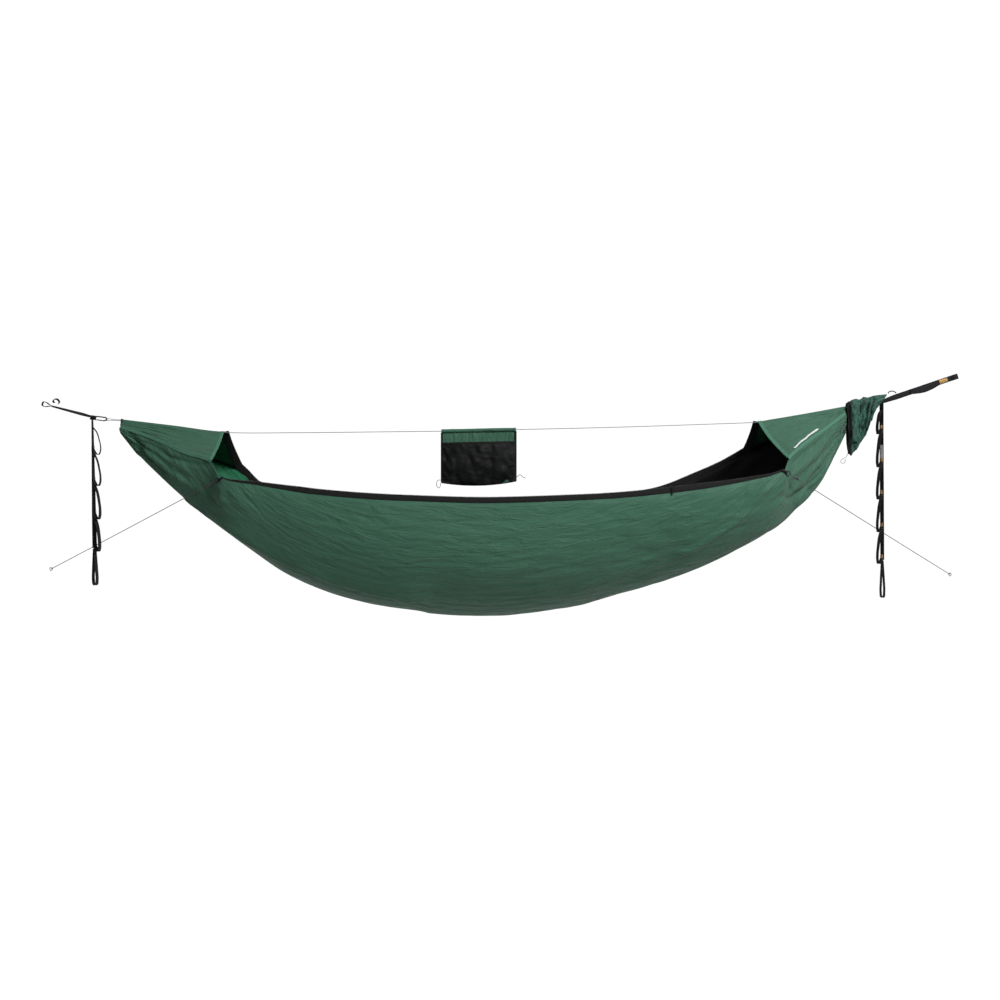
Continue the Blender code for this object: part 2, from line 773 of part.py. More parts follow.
def build_strap(name, start, bar, along, normal, across, webbing, pivot):
    """A tree strap from its tree loop to its carabiner, where it turns round the bar."""
    round_bar = hitch_path(bar, along, normal, 0.014)
    run = [start + (round_bar[0] - start) * k / 8 for k in range(8)]
    path = run + round_bar
    tree_across, bar_across = Vector(across[0]), Vector(across[1])
    turned, widths = [], []
    for i in range(len(path)):
        part = min(1.0, i / (len(run) + 1))
        turned.append(tree_across.lerp(bar_across, part))
        bunched = min(1.0, max(0.0, (i - len(run) + 2) / 2))
        widths.append(WEBBING_WIDTH + (HITCH_WIDTH - WEBBING_WIDTH) * bunched)
    add_piece(name, ribbon_mesh(name, path, turned, widths, WEBBING_THICK), webbing, pivot)


def build_carabiner(prefix, middle, along, across, metal, pivot, gate_pivot):
    """An open oval of round bar, closed by a straight gate on its -across side."""
    half = (CARABINER_WIDTH - 2 * CARABINER_BAR) / 2
    straight = (CARABINER_LENGTH - 2 * CARABINER_BAR) / 2 - half
    flat = [(straight, -half)]
    for k in range(1, 8):
        angle = -math.pi / 2 + math.pi * k / 8
        flat.append((straight + half * math.cos(angle), half * math.sin(angle)))
    flat += [(straight, half), (0, half), (-straight, half)]
    for k in range(1, 8):
        angle = math.pi / 2 + math.pi * k / 8
        flat.append((-straight + half * math.cos(angle), half * math.sin(angle)))
    flat.append((-straight, -half))
    path = [middle + along * a + across * b for a, b in flat]
    curve = bpy.data.curves.new(prefix + "_carabiner", "CURVE")
    curve.dimensions = "3D"
    curve.bevel_depth = CARABINER_BAR
    curve.bevel_resolution = 2
    curve.use_fill_caps = True
    spline = curve.splines.new("POLY")
    spline.points.add(len(path) - 1)
    for point, place in zip(spline.points, path):
        point.co = (*place, 1)
    add_piece(prefix + "_carabiner", curve, metal, pivot)

    length = 2 * straight - 2 * GATE_GAP
    start = middle + along * (straight - GATE_GAP) - across * half
    profile = ((0, 0), (0.0006, 0.6 * GATE_RADIUS), (0.0020, GATE_RADIUS),
               (length - 0.0020, GATE_RADIUS), (length - 0.0006, 0.6 * GATE_RADIUS), (length, 0))
    mesh = turned_mesh(prefix + "_carabiner_gate", start, -along, profile, 8)
    add_piece(prefix + "_carabiner_gate", mesh, metal, gate_pivot)


def gate_place(middle, along, across):
    half = (CARABINER_WIDTH - 2 * CARABINER_BAR) / 2
    straight = (CARABINER_LENGTH - 2 * CARABINER_BAR) / 2 - half
    return middle + along * (straight - GATE_GAP) - across * half


def build_knot(name, middle, along, cord, pivot):
    radius = KNOT_RADIUS
    profile = ((-radius, 0), (-0.75 * radius, 0.62 * radius), (0, radius),
               (0.75 * radius, 0.62 * radius), (radius, 0))
    add_piece(name, turned_mesh(name, middle, along, profile, 10), cord, pivot)


def build_end_cord(name, knot, bar, across, cord, pivot):
    """A doubled cord from the knot at a gathered end, round the carabiner's bar and back."""
    out = (bar - knot).normalized()
    start = knot + out * (KNOT_RADIUS + CLEAR)
    apart = across * 0.0016
    wide = across * (CARABINER_BAR + END_CORD / 2 + CLEAR + 0.0002)
    turn = CARABINER_BAR + END_CORD / 2 + CLEAR + 0.0006
    way = bar - out * 0.006
    points = [start + apart, start + apart + out * 0.006, way + wide * 0.9, bar + wide]
    points += [bar + (wide + out * turn) * 0.73, bar + out * turn]
    points += [bar + (out * turn - wide) * 0.73, bar - wide, way - wide * 0.9]
    points += [start - apart + out * 0.006, start - apart]
    add_cord(name, points, 34, END_CORD, cord, pivot)


def tail_place(top, bottom, height):
    part = (top.z - height) / (top.z - bottom.z)
    return top + (bottom - top) * part


def tail_turn(turns, top, bottom, height):
    part = (top.z - height) / (top.z - bottom.z)
    return math.radians(turns[0] + (turns[1] - turns[0]) * min(1.0, 1.4 * part))


def build_tail(side, hand, top, bottom, tacks, turns, webbing, pivot):
    """A daisy-chain tail: straight webbing, slack loops sewn to it, and an end loop.

    hand is the side the loops bulge to, +1 for +X. turns are how far the webbing's face
    is turned towards the near side, at the top and at the bottom.
    """
    def face(height):
        angle = tail_turn(turns, top, bottom, height)
        out = Vector((hand * math.cos(angle), -math.sin(angle), 0))
        return out, Vector((hand * math.sin(angle), math.cos(angle), 0))

    last = -tacks[-1]
    heights = [top.z + (last - 0.006 - top.z) * k / 12 for k in range(13)]
    path = [tail_place(top, bottom, z) for z in heights]
    name = side + "_tail_webbing"
    mesh = ribbon_mesh(name, path, [face(z)[1] for z in heights], WEBBING_WIDTH, WEBBING_THICK)
    add_piece(name, mesh, webbing, pivot)

    lay = WEBBING_THICK + CLEAR
    starts = (top.z - 0.004, *[-z for z in tacks[:-1]])
    for number, (upper, lower) in enumerate(zip(starts, [-z for z in tacks]), 1):
        drop = upper - lower
        bulge = DAISY_BULGE
        rows = (
            (0.012, 0.0), (0.30 * drop, 0.42 * bulge), (0.62 * drop, 0.78 * bulge),
            (0.90 * drop, 0.97 * bulge), (drop + 0.008, 0.93 * bulge),
            (drop + 0.0175, 0.72 * bulge), (drop + 0.0170, 0.45 * bulge),
            (drop + 0.0085, 0.22 * bulge), (drop - 0.001, 0.0),
        )
        points = []
        for down, out in rows:
            height = upper - down
            away = face(height)[0]
            points.append(tail_place(top, bottom, height) + away * (lay + out))
        path = smooth_points(points, 15)
        sides = [face(p[2])[1] for p in path]
        name = f"{side}_tail_loop_{number}"
        mesh = ribbon_mesh(name, path, sides, WEBBING_WIDTH, WEBBING_THICK)
        add_piece(name, mesh, webbing, pivot)

    start = last - 0.008
    away, across = face(start)
    half = WEBBING_THICK / 2 + CLEAR
    rows = (
        (0.0, half), (0.25, 0.45 * END_LOOP_HALF), (0.60, 0.85 * END_LOOP_HALF),
        (0.86, END_LOOP_HALF), (0.97, 0.72 * END_LOOP_HALF), (1.0, 0.0),
    )
    outline = [*rows, *[(a, -b) for a, b in rows[-2::-1]]]
    points = []
    for share, out in outline:
        height = start - END_LOOP_LENGTH * share
        points.append(tail_place(top, bottom, height) + away * out)
    path = smooth_points(points, 22)
    name = side + "_tail_end_loop"
    add_piece(name, ribbon_mesh(name, path, across, WEBBING_WIDTH, WEBBING_THICK), webbing, pivot)


def build_side_loop(name, points, across, webbing, pivot):
    """A slack daisy loop on the part of a strap between the carabiner and the tree."""
    path = smooth_points(points, 12)
    add_piece(name, ribbon_mesh(name, path, across, WEBBING_WIDTH, WEBBING_THICK), webbing, pivot)


# --- guy lines -------------------------------------------------------------------

def guy_frame(corner, end):
    """Where a guy line's tab starts, the line's direction, and the way across its tab."""
    base = corner + Vector((0, -TAB_OFFSET, 0))
    out = (end - base).normalized()
    across = Vector((0, 0, 1))
    across = (across - out * across.dot(out)).normalized()
    return base, out, across


def guy_ring_place(base, out):
    return base + out * (TAB_LENGTH + RING_RADIUS)


def build_tieout(side, base, out, across, webbing, metal, pivot):
    """A small webbing tab sewn to the bed's corner, and the ring in it."""
    beside = out.cross(across)
    half = TAB_THICK / 2 + CLEAR / 2
    curve_of_ring = RING_RADIUS - math.sqrt(RING_RADIUS**2 - TAB_WIDTH**2 / 4)
    round_ring = TAB_LENGTH + RING_BAR + TAB_THICK / 2 + curve_of_ring + CLEAR
    rows = ((0, half), (0.5 * TAB_LENGTH, 0.0026), (TAB_LENGTH - 0.0005, 0.0036),
            (round_ring - 0.0004, 0.0026), (round_ring, 0))
    outline = [*rows, *[(a, -b) for a, b in rows[-2::-1]]]
    path = [base + out * a + beside * b for a, b in outline]
    name = side + "_tieout_tab"
    mesh = ribbon_mesh(name, path, across, TAB_WIDTH, TAB_THICK)
    add_piece(name, mesh, webbing, pivot)
    name = side + "_tieout_ring"
    middle = guy_ring_place(base, out)
    add_piece(name, ring_mesh(name, middle, out, across, RING_RADIUS, RING_BAR), metal, pivot)


def build_guy_line(side, base, out, across, end, cord, plastic, pivot, lock_pivot):
    start = guy_ring_place(base, out) + out * (RING_RADIUS + RING_BAR + CLEAR)
    finish = end - out * (2 * GUY_LOOP_RADIUS)
    points = [start + (finish - start) * k / 4 for k in range(5)]
    add_cord(side + "_guyline", points, 44, GUY_CORD, cord, pivot)
    name = side + "_guy_end_loop"
    middle = end - out * (GUY_LOOP_RADIUS - GUY_CORD / 2 - CLEAR)
    mesh = ring_mesh(name, middle, out, across, GUY_LOOP_RADIUS, GUY_CORD / 2, 16)
    add_piece(name, mesh, cord, pivot)
    bore = GUY_CORD / 2 + LOCK_SLACK
    profile = (
        (0, bore), (0, 0.7 * LOCK_RADIUS), (0.18 * LOCK_LENGTH, LOCK_RADIUS),
        (0.82 * LOCK_LENGTH, LOCK_RADIUS), (LOCK_LENGTH, 0.7 * LOCK_RADIUS),
        (LOCK_LENGTH, bore), (0, bore),
    )
    mesh = turned_mesh(side + "_guy_lock", start + out * LOCK_PLACE, out, profile, 12)
    add_piece(side + "_guy_lock", mesh, plastic, lock_pivot)


# --- stuff sack --------------------------------------------------------------------

SACK_RINGS = (
    # from the sack's mouth: top x, top z, bottom x, bottom z, and half the ring's depth
    (0.000, 0.0120, 0.006, -0.1600, 0.024),
    (0.013, 0.0180, 0.017, -0.1630, 0.030),
    (0.032, 0.0240, 0.035, -0.1460, 0.032),
    (0.050, 0.0280, 0.052, -0.1200, 0.031),
    (0.068, 0.0310, 0.068, -0.0900, 0.029),
    (0.086, 0.0360, 0.083, -0.0520, 0.026),
    (0.106, 0.0410, 0.098, -0.0180, 0.021),
    (0.142, 0.0440, 0.106, -0.0040, 0.016),
)
HAUL_LOOP = (
    (0.1455, -0.004, 0.0480), (0.1500, -0.004, 0.0540), (0.1580, -0.004, 0.0560),
    (0.1680, -0.004, 0.0540), (0.1740, -0.004, 0.0490),
)


def build_sack(cloth, pivot):
    """The stuff sack: a slack sleeve over the right suspension, open at both ends."""
    sides = 16
    points, faces = [], []
    for top_x, top_z, low_x, low_z, depth in SACK_RINGS:
        top = SACK_MOUTH + Vector((top_x, 0, top_z))
        low = SACK_MOUTH + Vector((low_x, 0, low_z))
        for k in range(sides):
            angle = 2 * math.pi * k / sides
            part = (1 - math.cos(angle)) / 2
            wide = math.sin(angle) * depth * (1.12 - 0.5 * part)
            points.append(top + (low - top) * part + Vector((0, -wide, 0)))
    for i in range(len(SACK_RINGS) - 1):
        for k in range(sides):
            j = (k + 1) % sides
            faces.append((i * sides + k, i * sides + j, (i + 1) * sides + j, (i + 1) * sides + k))
    sack = add_piece("stuff_sack", mesh_from("stuff_sack", points, faces), cloth, pivot)
    solidify = sack.modifiers.new("thickness", "SOLIDIFY")
    solidify.thickness = SACK_CLOTH
    solidify.offset = 0


def build_haul_loop(webbing, pivot):
    """A small cord loop at the sack's narrow end."""
    path = smooth_points([SACK_MOUTH + Vector(point) for point in HAUL_LOOP], 9)
    mesh = ribbon_mesh("sack_haul_loop", path, (0, 1, 0), 0.005, 0.0016)
    add_piece("sack_haul_loop", mesh, webbing, pivot)


# --- the whole hammock --------------------------------------------------------------

def build_all():
    clear_scene()
    green = make_material("ripstop_green", (0.055, 0.140, 0.090), 0.62)
    black_tape = make_material("zip_tape_black", (0.010, 0.010, 0.010), 0.70)
    black_net = make_material("net_black", (0.012, 0.012, 0.013), 0.85)
    black_webbing = make_material("webbing_black", (0.014, 0.013, 0.015), 0.75)
    grey_cord = make_material("cord_grey", (0.180, 0.180, 0.180), 0.60)
    black_cord = make_material("cord_black", (0.015, 0.015, 0.016), 0.65)
    black_metal = make_material("anodised_black", (0.020, 0.020, 0.022), 0.35, 1.0)
    black_plastic = make_material("plastic_black", (0.015, 0.015, 0.016), 0.45)

    anchors = make_pivot("tree_anchors", (0, 0, 0))
    swing = make_pivot("swing_axis", (0, 0, 0), anchors)

    build_bed(green, swing)
    build_hoods(green, swing)
    build_near_tape(black_tape, swing)
    build_far_tape(black_tape, swing)
    build_net(black_net, swing)

    for prefix, rail, share, away in (
        ("near", near_edge, 0.750, -1),
        ("far", far_edge, 0.620, 1),
    ):
        edge = rail(share)
        along = (rail(share + 0.012) - rail(share - 0.012)).normalized()
        top = edge + Vector((0, 0, CLOTH / 2 + TAPE_GAP + TAPE_WIDTH))
        pull = top + Vector((0, away * (SLIDER_WIDTH / 2 + PULL_THICK / 2 + CLEAR), 0.0005))
        slider_pivot = make_pivot(prefix + "_slider_pivot", top, swing)
        pull_pivot = make_pivot(prefix + "_pull_pivot", pull, slider_pivot)
        build_slider(prefix, top, along, black_metal, slider_pivot, pull_pivot)

    add_cord("ridgeline", RIDGELINE_ROUTE, 80, RIDGE_CORD, grey_cord, swing)
    left_end, right_end = organizer_axis()
    sleeve_pivot = make_pivot("organizer_slide", (left_end + right_end) / 2, swing)
    panel_pivot = make_pivot("organizer_swing", (left_end + right_end) / 2, sleeve_pivot)
    build_sleeve(green, sleeve_pivot)
    build_organizer_panel(green, panel_pivot)
    build_organizer_pocket(black_net, panel_pivot)
    for name, route, count in (
        ("organizer_left_cord", ORGANIZER_LEFT_CORD_ROUTE, 22),
        ("organizer_right_cord", ORGANIZER_RIGHT_CORD_ROUTE, 16),
    ):
        add_cord(name, route, count, SMALL_CORD, black_cord, panel_pivot)

    build_left_suspension(anchors, swing, black_webbing, black_metal, grey_cord, black_cord)
    build_right_suspension(anchors, swing, black_webbing, black_metal, grey_cord, black_cord)

    for side, share, end in (
        ("left", LEFT_TIEOUT, LEFT_GUY_END),
        ("right", RIGHT_TIEOUT, RIGHT_GUY_END),
    ):
        base, out, across = guy_frame(near_edge(share), end)
        ring = guy_ring_place(base, out)
        guy_pivot = make_pivot(side + "_guy_pivot", ring, swing)
        lock_pivot = make_pivot(side + "_guy_lock_pivot", ring, guy_pivot)
        build_tieout(side, base, out, across, black_webbing, black_metal, swing)
        build_guy_line(
            side, base, out, across, end, grey_cord, black_plastic, guy_pivot, lock_pivot
        )

    sack_pivot = make_pivot("sack_swing", SACK_MOUTH + Vector((0, 0, 0.001)), swing)
    build_sack(green, sack_pivot)
    add_cord("sack_drawcord", SACK_CORD_ROUTE, 30, SMALL_CORD, grey_cord, sack_pivot)
    build_haul_loop(green, sack_pivot)


def build_left_suspension(anchors, swing, webbing, metal, cord, dark_cord):
    edge_on = Vector((0.0, 0.97, 0.24))
    knot = Vector((GATHER_LEFT + 0.006, 0, GATHER_LEFT_TOP + 0.0055))
    along = Vector((-1.0, 0, 0.133)).normalized()
    tilt = math.radians(35)
    lift = Vector((0, 1, 0)).cross(along).normalized()
    if lift.z < 0:
        lift = -lift
    across = (Vector((0, 1, 0)) * math.cos(tilt) + lift * math.sin(tilt)).normalized()
    normal = along.cross(across)
    if normal.z > 0:
        normal = -normal
    middle = knot + Vector((-0.0770, 0, 0.0065))
    reach = CARABINER_LENGTH / 2 - CARABINER_BAR
    gate_pivot = make_pivot("left_gate_pivot", gate_place(middle, -along, across), swing)
    build_carabiner("left", middle, -along, across, metal, swing, gate_pivot)
    build_knot("left_end_knot", knot, (1, 0, 0), dark_cord, swing)
    build_end_cord("left_end_cord", knot, middle - along * reach, normal, cord, swing)

    bar = middle + along * reach
    neck, start = strap_start(LEFT_ANCHOR, bar)
    build_tree_loop("left_tree_loop", LEFT_ANCHOR, neck, (0, 1, 0), webbing, anchors)
    build_strap("left_strap", start, bar, along, normal, (edge_on, across), webbing, swing)
    rows = ((0.0390, 0.0030), (0.0360, 0.0100), (0.0400, 0.0155), (0.0480, 0.0160),
            (0.0550, 0.0110), (0.0570, 0.0040), (0.0530, -0.0010))
    side_loop = [LEFT_ANCHOR + Vector((a, 0, b)) for a, b in rows]
    build_side_loop("left_strap_side_loop", side_loop, edge_on, webbing, swing)

    tail_top = bar + Vector((-0.0050, -0.0040, -0.0185))
    tail_low = tail_top + Vector((0.0125, -0.0050, -0.5820))
    tail_pivot = make_pivot("left_tail_pivot", tail_top, swing)
    build_tail("left", 1, tail_top, tail_low, LEFT_TACKS, (4, 42), webbing, tail_pivot)


def build_right_suspension(anchors, swing, webbing, metal, cord, dark_cord):
    knot = Vector((GATHER_RIGHT + 0.0080, 0, GATHER_RIGHT_TOP + 0.0015))
    along = Vector((1.0, 0, 0.152)).normalized()
    across = Vector((0, 1, 0)).cross(along).normalized()
    if across.z < 0:
        across = -across
    normal = Vector((0, -1, 0))
    middle = knot + Vector((0.0850, 0, 0.0125))
    reach = CARABINER_LENGTH / 2 - CARABINER_BAR
    gate_pivot = make_pivot("right_gate_pivot", gate_place(middle, -along, across), swing)
    build_carabiner("right", middle, -along, across, metal, swing, gate_pivot)
    build_knot("right_end_knot", knot, (1, 0, 0), dark_cord, swing)
    build_end_cord("right_end_cord", knot, middle - along * reach, normal, cord, swing)

    bar = middle + along * reach
    neck, start = strap_start(RIGHT_ANCHOR, bar)
    out = (RIGHT_ANCHOR - neck).normalized()
    face_on = Vector((-out.z, 0, out.x))
    build_tree_loop("right_tree_loop", RIGHT_ANCHOR, neck, face_on, webbing, anchors)
    build_strap("right_strap", start, bar, along, normal, (face_on, across), webbing, swing)
    slope = (start - bar).normalized()
    low = Vector((slope.z, 0, -slope.x))
    rows = ((0.118, 0.0, 0.0028), (0.135, 0.004, 0.0045), (0.165, 0.0085, 0.0060),
            (0.195, 0.006, 0.0050), (0.222, 0.0, 0.0030))
    side_loop = [bar + slope * a + low * b + Vector((0, -c, 0)) for a, b, c in rows]
    build_side_loop("right_strap_side_loop", side_loop, -low, webbing, swing)

    tail_top = bar + Vector((0.0085, -0.0130, -0.0160))
    tail_low = tail_top + Vector((0.0020, -0.0060, -0.6700))
    tail_pivot = make_pivot("right_tail_pivot", tail_top, swing)
    build_tail("right", -1, tail_top, tail_low, RIGHT_TACKS, (48, 44), webbing, tail_pivot)


build_all()
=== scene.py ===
import math

import bmesh
import bpy
import numpy as np
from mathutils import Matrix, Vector


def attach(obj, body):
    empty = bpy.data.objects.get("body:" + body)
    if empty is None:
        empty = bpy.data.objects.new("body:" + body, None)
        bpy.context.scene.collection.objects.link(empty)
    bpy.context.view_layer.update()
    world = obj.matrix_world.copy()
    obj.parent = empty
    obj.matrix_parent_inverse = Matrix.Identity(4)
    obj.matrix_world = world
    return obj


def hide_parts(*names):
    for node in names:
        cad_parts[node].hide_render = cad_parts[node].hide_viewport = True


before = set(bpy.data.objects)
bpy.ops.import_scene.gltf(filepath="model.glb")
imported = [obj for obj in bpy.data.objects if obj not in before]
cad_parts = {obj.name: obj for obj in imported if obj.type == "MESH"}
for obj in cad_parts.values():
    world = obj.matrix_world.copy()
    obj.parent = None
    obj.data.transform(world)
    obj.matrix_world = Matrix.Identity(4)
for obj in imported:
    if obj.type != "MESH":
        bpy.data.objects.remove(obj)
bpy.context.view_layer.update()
print("frame loaded:", len(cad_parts), "solids")

# The camera stands level, square to the hammock's near side
cameraSetup = {"place": (0.0, -6.0, -0.385), "lens": 61.7}


def addCamera():
    data = bpy.data.cameras.new("camera")
    data.lens = cameraSetup["lens"]
    camera = bpy.data.objects.new("camera", data)
    camera.location = cameraSetup["place"]
    camera.rotation_euler = (math.radians(90), 0, 0)
    bpy.context.collection.objects.link(camera)
    bpy.context.scene.camera = camera


addCamera()


# Small tools: nodes, curves, meshes

def addNode(tree, kind, values=None, **settings):
    made = tree.nodes.new(kind)
    for key, value in settings.items():
        setattr(made, key, value)
    for key, value in (values or {}).items():
        if isinstance(value, bpy.types.NodeSocket):
            tree.links.new(value, made.inputs[key])
        else:
            made.inputs[key].default_value = value
    return made


def maths(tree, operation, first, second=0.0):
    return addNode(tree, "ShaderNodeMath", {0: first, 1: second}, operation=operation).outputs[0]


def unit(vectors):
    return vectors / np.maximum(np.linalg.norm(vectors, axis=-1, keepdims=True), 1e-12)


def cubic(t, span, first, last, leaving, arriving):
    # from first to last, with a slope at each end
    return (
        (2 * t**3 - 3 * t**2 + 1) * first + (t**3 - 2 * t**2 + t) * span * leaving
        + (3 * t**2 - 2 * t**3) * last + (t**3 - t**2) * span * arriving
    )


def smoothPath(points, count):
    knots = np.array(points, float)
    steps = np.linalg.norm(np.diff(knots, axis=0), axis=1)
    slopes = np.diff(knots, axis=0) / steps[:, None]
    tangents = np.vstack([slopes[:1], knots[1:-1], slopes[-1:]])
    for i in range(1, len(knots) - 1):
        before, after = steps[i - 1], steps[i]
        tangents[i] = (slopes[i - 1] * after + slopes[i] * before) / (before + after)
    t = np.linspace(0, 1, 24, endpoint=False)[:, None]
    fine = [cubic(t, step, knots[i], knots[i + 1], tangents[i], tangents[i + 1]) for i, step in enumerate(steps)]
    return evenly(np.vstack([*fine, knots[-1:]]), count)


def distances(path):
    # how far along the path each of its points lies
    return np.concatenate([[0], np.cumsum(np.linalg.norm(np.diff(path, axis=0), axis=1))])


def evenly(path, count):
    path = np.array(path, float)
    along = distances(path)
    at = np.linspace(0, along[-1], count)
    return np.column_stack([np.interp(at, along, path[:, k]) for k in range(path.shape[1])])


def lengthOf(path):
    return float(np.linalg.norm(np.diff(np.array(path), axis=0), axis=1).sum())


def eased(at, places, values):
    # a monotone cubic through the values, for one place or many
    places, values = np.array(places), np.array(values)
    gaps = np.diff(places)
    slopes = np.diff(values) / gaps
    tangents = np.concatenate([slopes[:1], np.zeros(len(places) - 2), slopes[-1:]])
    for i in range(1, len(places) - 1):
        if slopes[i - 1] * slopes[i] > 0:
            first = 2 * gaps[i] + gaps[i - 1]
            second = gaps[i] + 2 * gaps[i - 1]
            tangents[i] = (first + second) / (first / slopes[i - 1] + second / slopes[i])
    i = np.clip(np.searchsorted(places, at) - 1, 0, len(gaps) - 1)
    return cubic((at - places[i]) / gaps[i], gaps[i], values[i], values[i + 1], tangents[i], tangents[i + 1])


def softNoise(u, v, seed):
    # smooth value noise, about one bump for each unit of u and v
    table = np.random.default_rng(seed).uniform(-1, 1, (64, 64))
    u, v = np.broadcast_arrays(u, v)
    i, j = np.floor(u).astype(int), np.floor(v).astype(int)
    a, b = u - i, v - j
    a, b = a * a * (3 - 2 * a), b * b * (3 - 2 * b)

    def corner(di, dj):
        return table[(i + di) % 64, (j + dj) % 64]

    low = corner(0, 0) * (1 - a) + corner(1, 0) * a
    high = corner(0, 1) * (1 - a) + corner(1, 1) * a
    return low * (1 - b) + high * b


def addPiece(name, points, faces, uvs, materials, body):
    mesh = bpy.data.meshes.new(name)
    mesh.from_pydata(np.asarray(points).tolist(), [], [list(map(int, face)) for face in faces])
    layer = mesh.uv_layers.new(name="clothMap")
    corners = np.empty(len(mesh.loops), np.int32)
    mesh.loops.foreach_get("vertex_index", corners)
    layer.data.foreach_set("uv", np.asarray(uvs, np.float32)[corners].ravel())
    for material in materials if isinstance(materials, (list, tuple)) else [materials]:
        mesh.materials.append(material)
    mesh.shade_smooth()
    piece = bpy.data.objects.new(name, mesh)
    bpy.context.collection.objects.link(piece)
    if body:
        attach(piece, body)
    return piece


def gridFaces(rows, columns, closed=False):
    i, j = np.meshgrid(np.arange(rows - 1), np.arange(columns - (0 if closed else 1)), indexing="ij")
    i, j = i.ravel(), j.ravel()
    k = (j + 1) % columns
    return np.column_stack([i * columns + j, i * columns + k, (i + 1) * columns + k, (i + 1) * columns + j])


def sheetNormals(grid):
    return unit(np.cross(np.gradient(grid, axis=0), np.gradient(grid, axis=1)))


def clothMap(grid):
    # metres along the cloth, and metres across it from the middle column
    middle = grid.shape[1] // 2
    steps = np.linalg.norm(np.diff(grid, axis=1), axis=2)
    across = np.concatenate([np.zeros((len(grid), 1)), np.cumsum(steps, axis=1)], axis=1)
    across -= across[:, middle:middle + 1]
    along = distances(grid[:, middle])
    return np.dstack([np.repeat(along[:, None], grid.shape[1], axis=1), across])


def addCloth(name, grid, materials, body, thick, closed=False):
    # a thin shell round a grid of points; a second material goes on its inner side (for the bed and hoods, painted
    # light shining through the cloth), and a closed one is a sleeve
    faces = gridFaces(*grid.shape[:2], closed)
    piece = addPiece(name, grid.reshape(-1, 3), faces, clothMap(grid).reshape(-1, 2), materials, None)
    shell = piece.modifiers.new("thickness", "SOLIDIFY")
    shell.thickness = thick
    shell.offset = 0
    shell.material_offset = len(piece.data.materials) - 1
    settled(piece)
    if closed:
        turnOutwards(piece)
    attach(piece, body)
    return piece


def settled(piece):
    # the modifiers' result becomes the piece's own mesh
    graph = bpy.context.evaluated_depsgraph_get()
    mesh = bpy.data.meshes.new_from_object(piece.evaluated_get(graph))
    piece.modifiers.clear()
    old = piece.data
    piece.data = mesh
    mesh.name = piece.name
    bpy.data.meshes.remove(old)


def sweep(path, profileX, profileY, sideways, upwards):
    # points of a profile carried along a path, one ring for each point
    return path[:, None, :] + sideways[:, None, :] * profileX[..., None] + upwards[:, None, :] * profileY[..., None]


def pathDirections(path, across):
    forward = unit(np.gradient(path, axis=0))
    across = np.broadcast_to(np.array(across, float), path.shape)
    side = unit(across - forward * (across * forward).sum(1, keepdims=True))
    return forward, side, np.cross(forward, side)


def closedTube(name, rings, lengths, girth, material, body):
    # a skin round the rings, with a cap at each end
    count, sides = rings.shape[:2]
    faces = [list(face) for face in gridFaces(count, sides, closed=True)]
    faces += [list(range(sides))[::-1], [(count - 1) * sides + k for k in range(sides)]]
    uvs = np.dstack(np.broadcast_arrays(lengths[:, None], girth[None, :]))
    piece = addPiece(name, rings.reshape(-1, 3), faces, uvs.reshape(-1, 2), material, None)
    turnOutwards(piece)
    piece.data.set_sharp_from_angle(angle=math.radians(50))
    if body:
        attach(piece, body)
    return piece


def turnOutwards(piece):
    work = bmesh.new()
    work.from_mesh(piece.data)
    bmesh.ops.recalc_face_normals(work, faces=work.faces)
    work.to_mesh(piece.data)
    work.free()


def addTube(name, path, diameter, material, body, sides=10):
    path = np.array(path, float)
    forward = unit(np.gradient(path, axis=0))
    side = np.array((0.0, 0.31, 0.95))
    sideways = []
    for way in forward:                       # carried along, so the tube never twists
        side = side - way * side.dot(way)
        side = side / np.linalg.norm(side)
        sideways.append(side)
    sideways = np.array(sideways)
    angle = np.linspace(0, 2 * math.pi, sides, endpoint=False)
    width = np.broadcast_to(np.array(diameter, float), (len(path),))[:, None] / 2
    rings = sweep(path, width * np.cos(angle), width * np.sin(angle), sideways, np.cross(forward, sideways))
    return closedTube(name, rings, distances(path), angle / (2 * math.pi), material, body)


def addRibbon(name, path, across, width, thick, material, body):
    # flat webbing or tape with rounded edges; width is one value, or one for each point
    path = np.array(path, float)
    _, side, up = pathDirections(path, across)
    half, deep = np.broadcast_to(np.array(width, float), (len(path),))[:, None] / 2, thick / 2
    inset = np.array([0, 0.45, 1.3, 1.3, 0.45, 0, 0.45, 1.3, 1.3, 0.45]) * deep
    sign = np.array([1, 1, 1, -1, -1, -1, -1, -1, 1, 1])
    lift = np.array([0, 0.8, 1, 1, 0.8, 0, -0.8, -1, -1, -0.8]) * deep
    rings = sweep(path, sign * (half - inset), np.broadcast_to(lift, (len(path), 10)), side, up)
    return closedTube(name, rings, distances(path), sign * (float(np.max(width)) / 2 - inset), material, body)


def joined(name, pieces, body):
    # several pieces of one body made one
    bpy.ops.object.select_all(action="DESELECT")
    for piece in pieces:
        piece.parent = None
        piece.select_set(True)
    bpy.context.view_layer.objects.active = pieces[0]
    bpy.ops.object.join()
    pieces[0].name = pieces[0].data.name = name
    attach(pieces[0], body)
    return pieces[0]


def standsFor(node):
    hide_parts(node)


# Finishes

def plainMaterial(name, colour, roughness, metallic=0.0, sheen=0.0):
    material = bpy.data.materials.new(name)
    material.use_nodes = True
    shader = material.node_tree.nodes["Principled BSDF"]
    shader.inputs["Base Color"].default_value = (*colour, 1)
    shader.inputs["Roughness"].default_value = roughness
    shader.inputs["Metallic"].default_value = metallic
    shader.inputs["Sheen Weight"].default_value = sheen
    if roughness > 0.45 and metallic == 0:
        shader.inputs["Specular IOR Level"].default_value = 0.12      # cloth and cord shine little
    return material, material.node_tree, shader


def clothPlace(tree):
    return addNode(tree, "ShaderNodeUVMap", uv_map="clothMap").outputs[0]


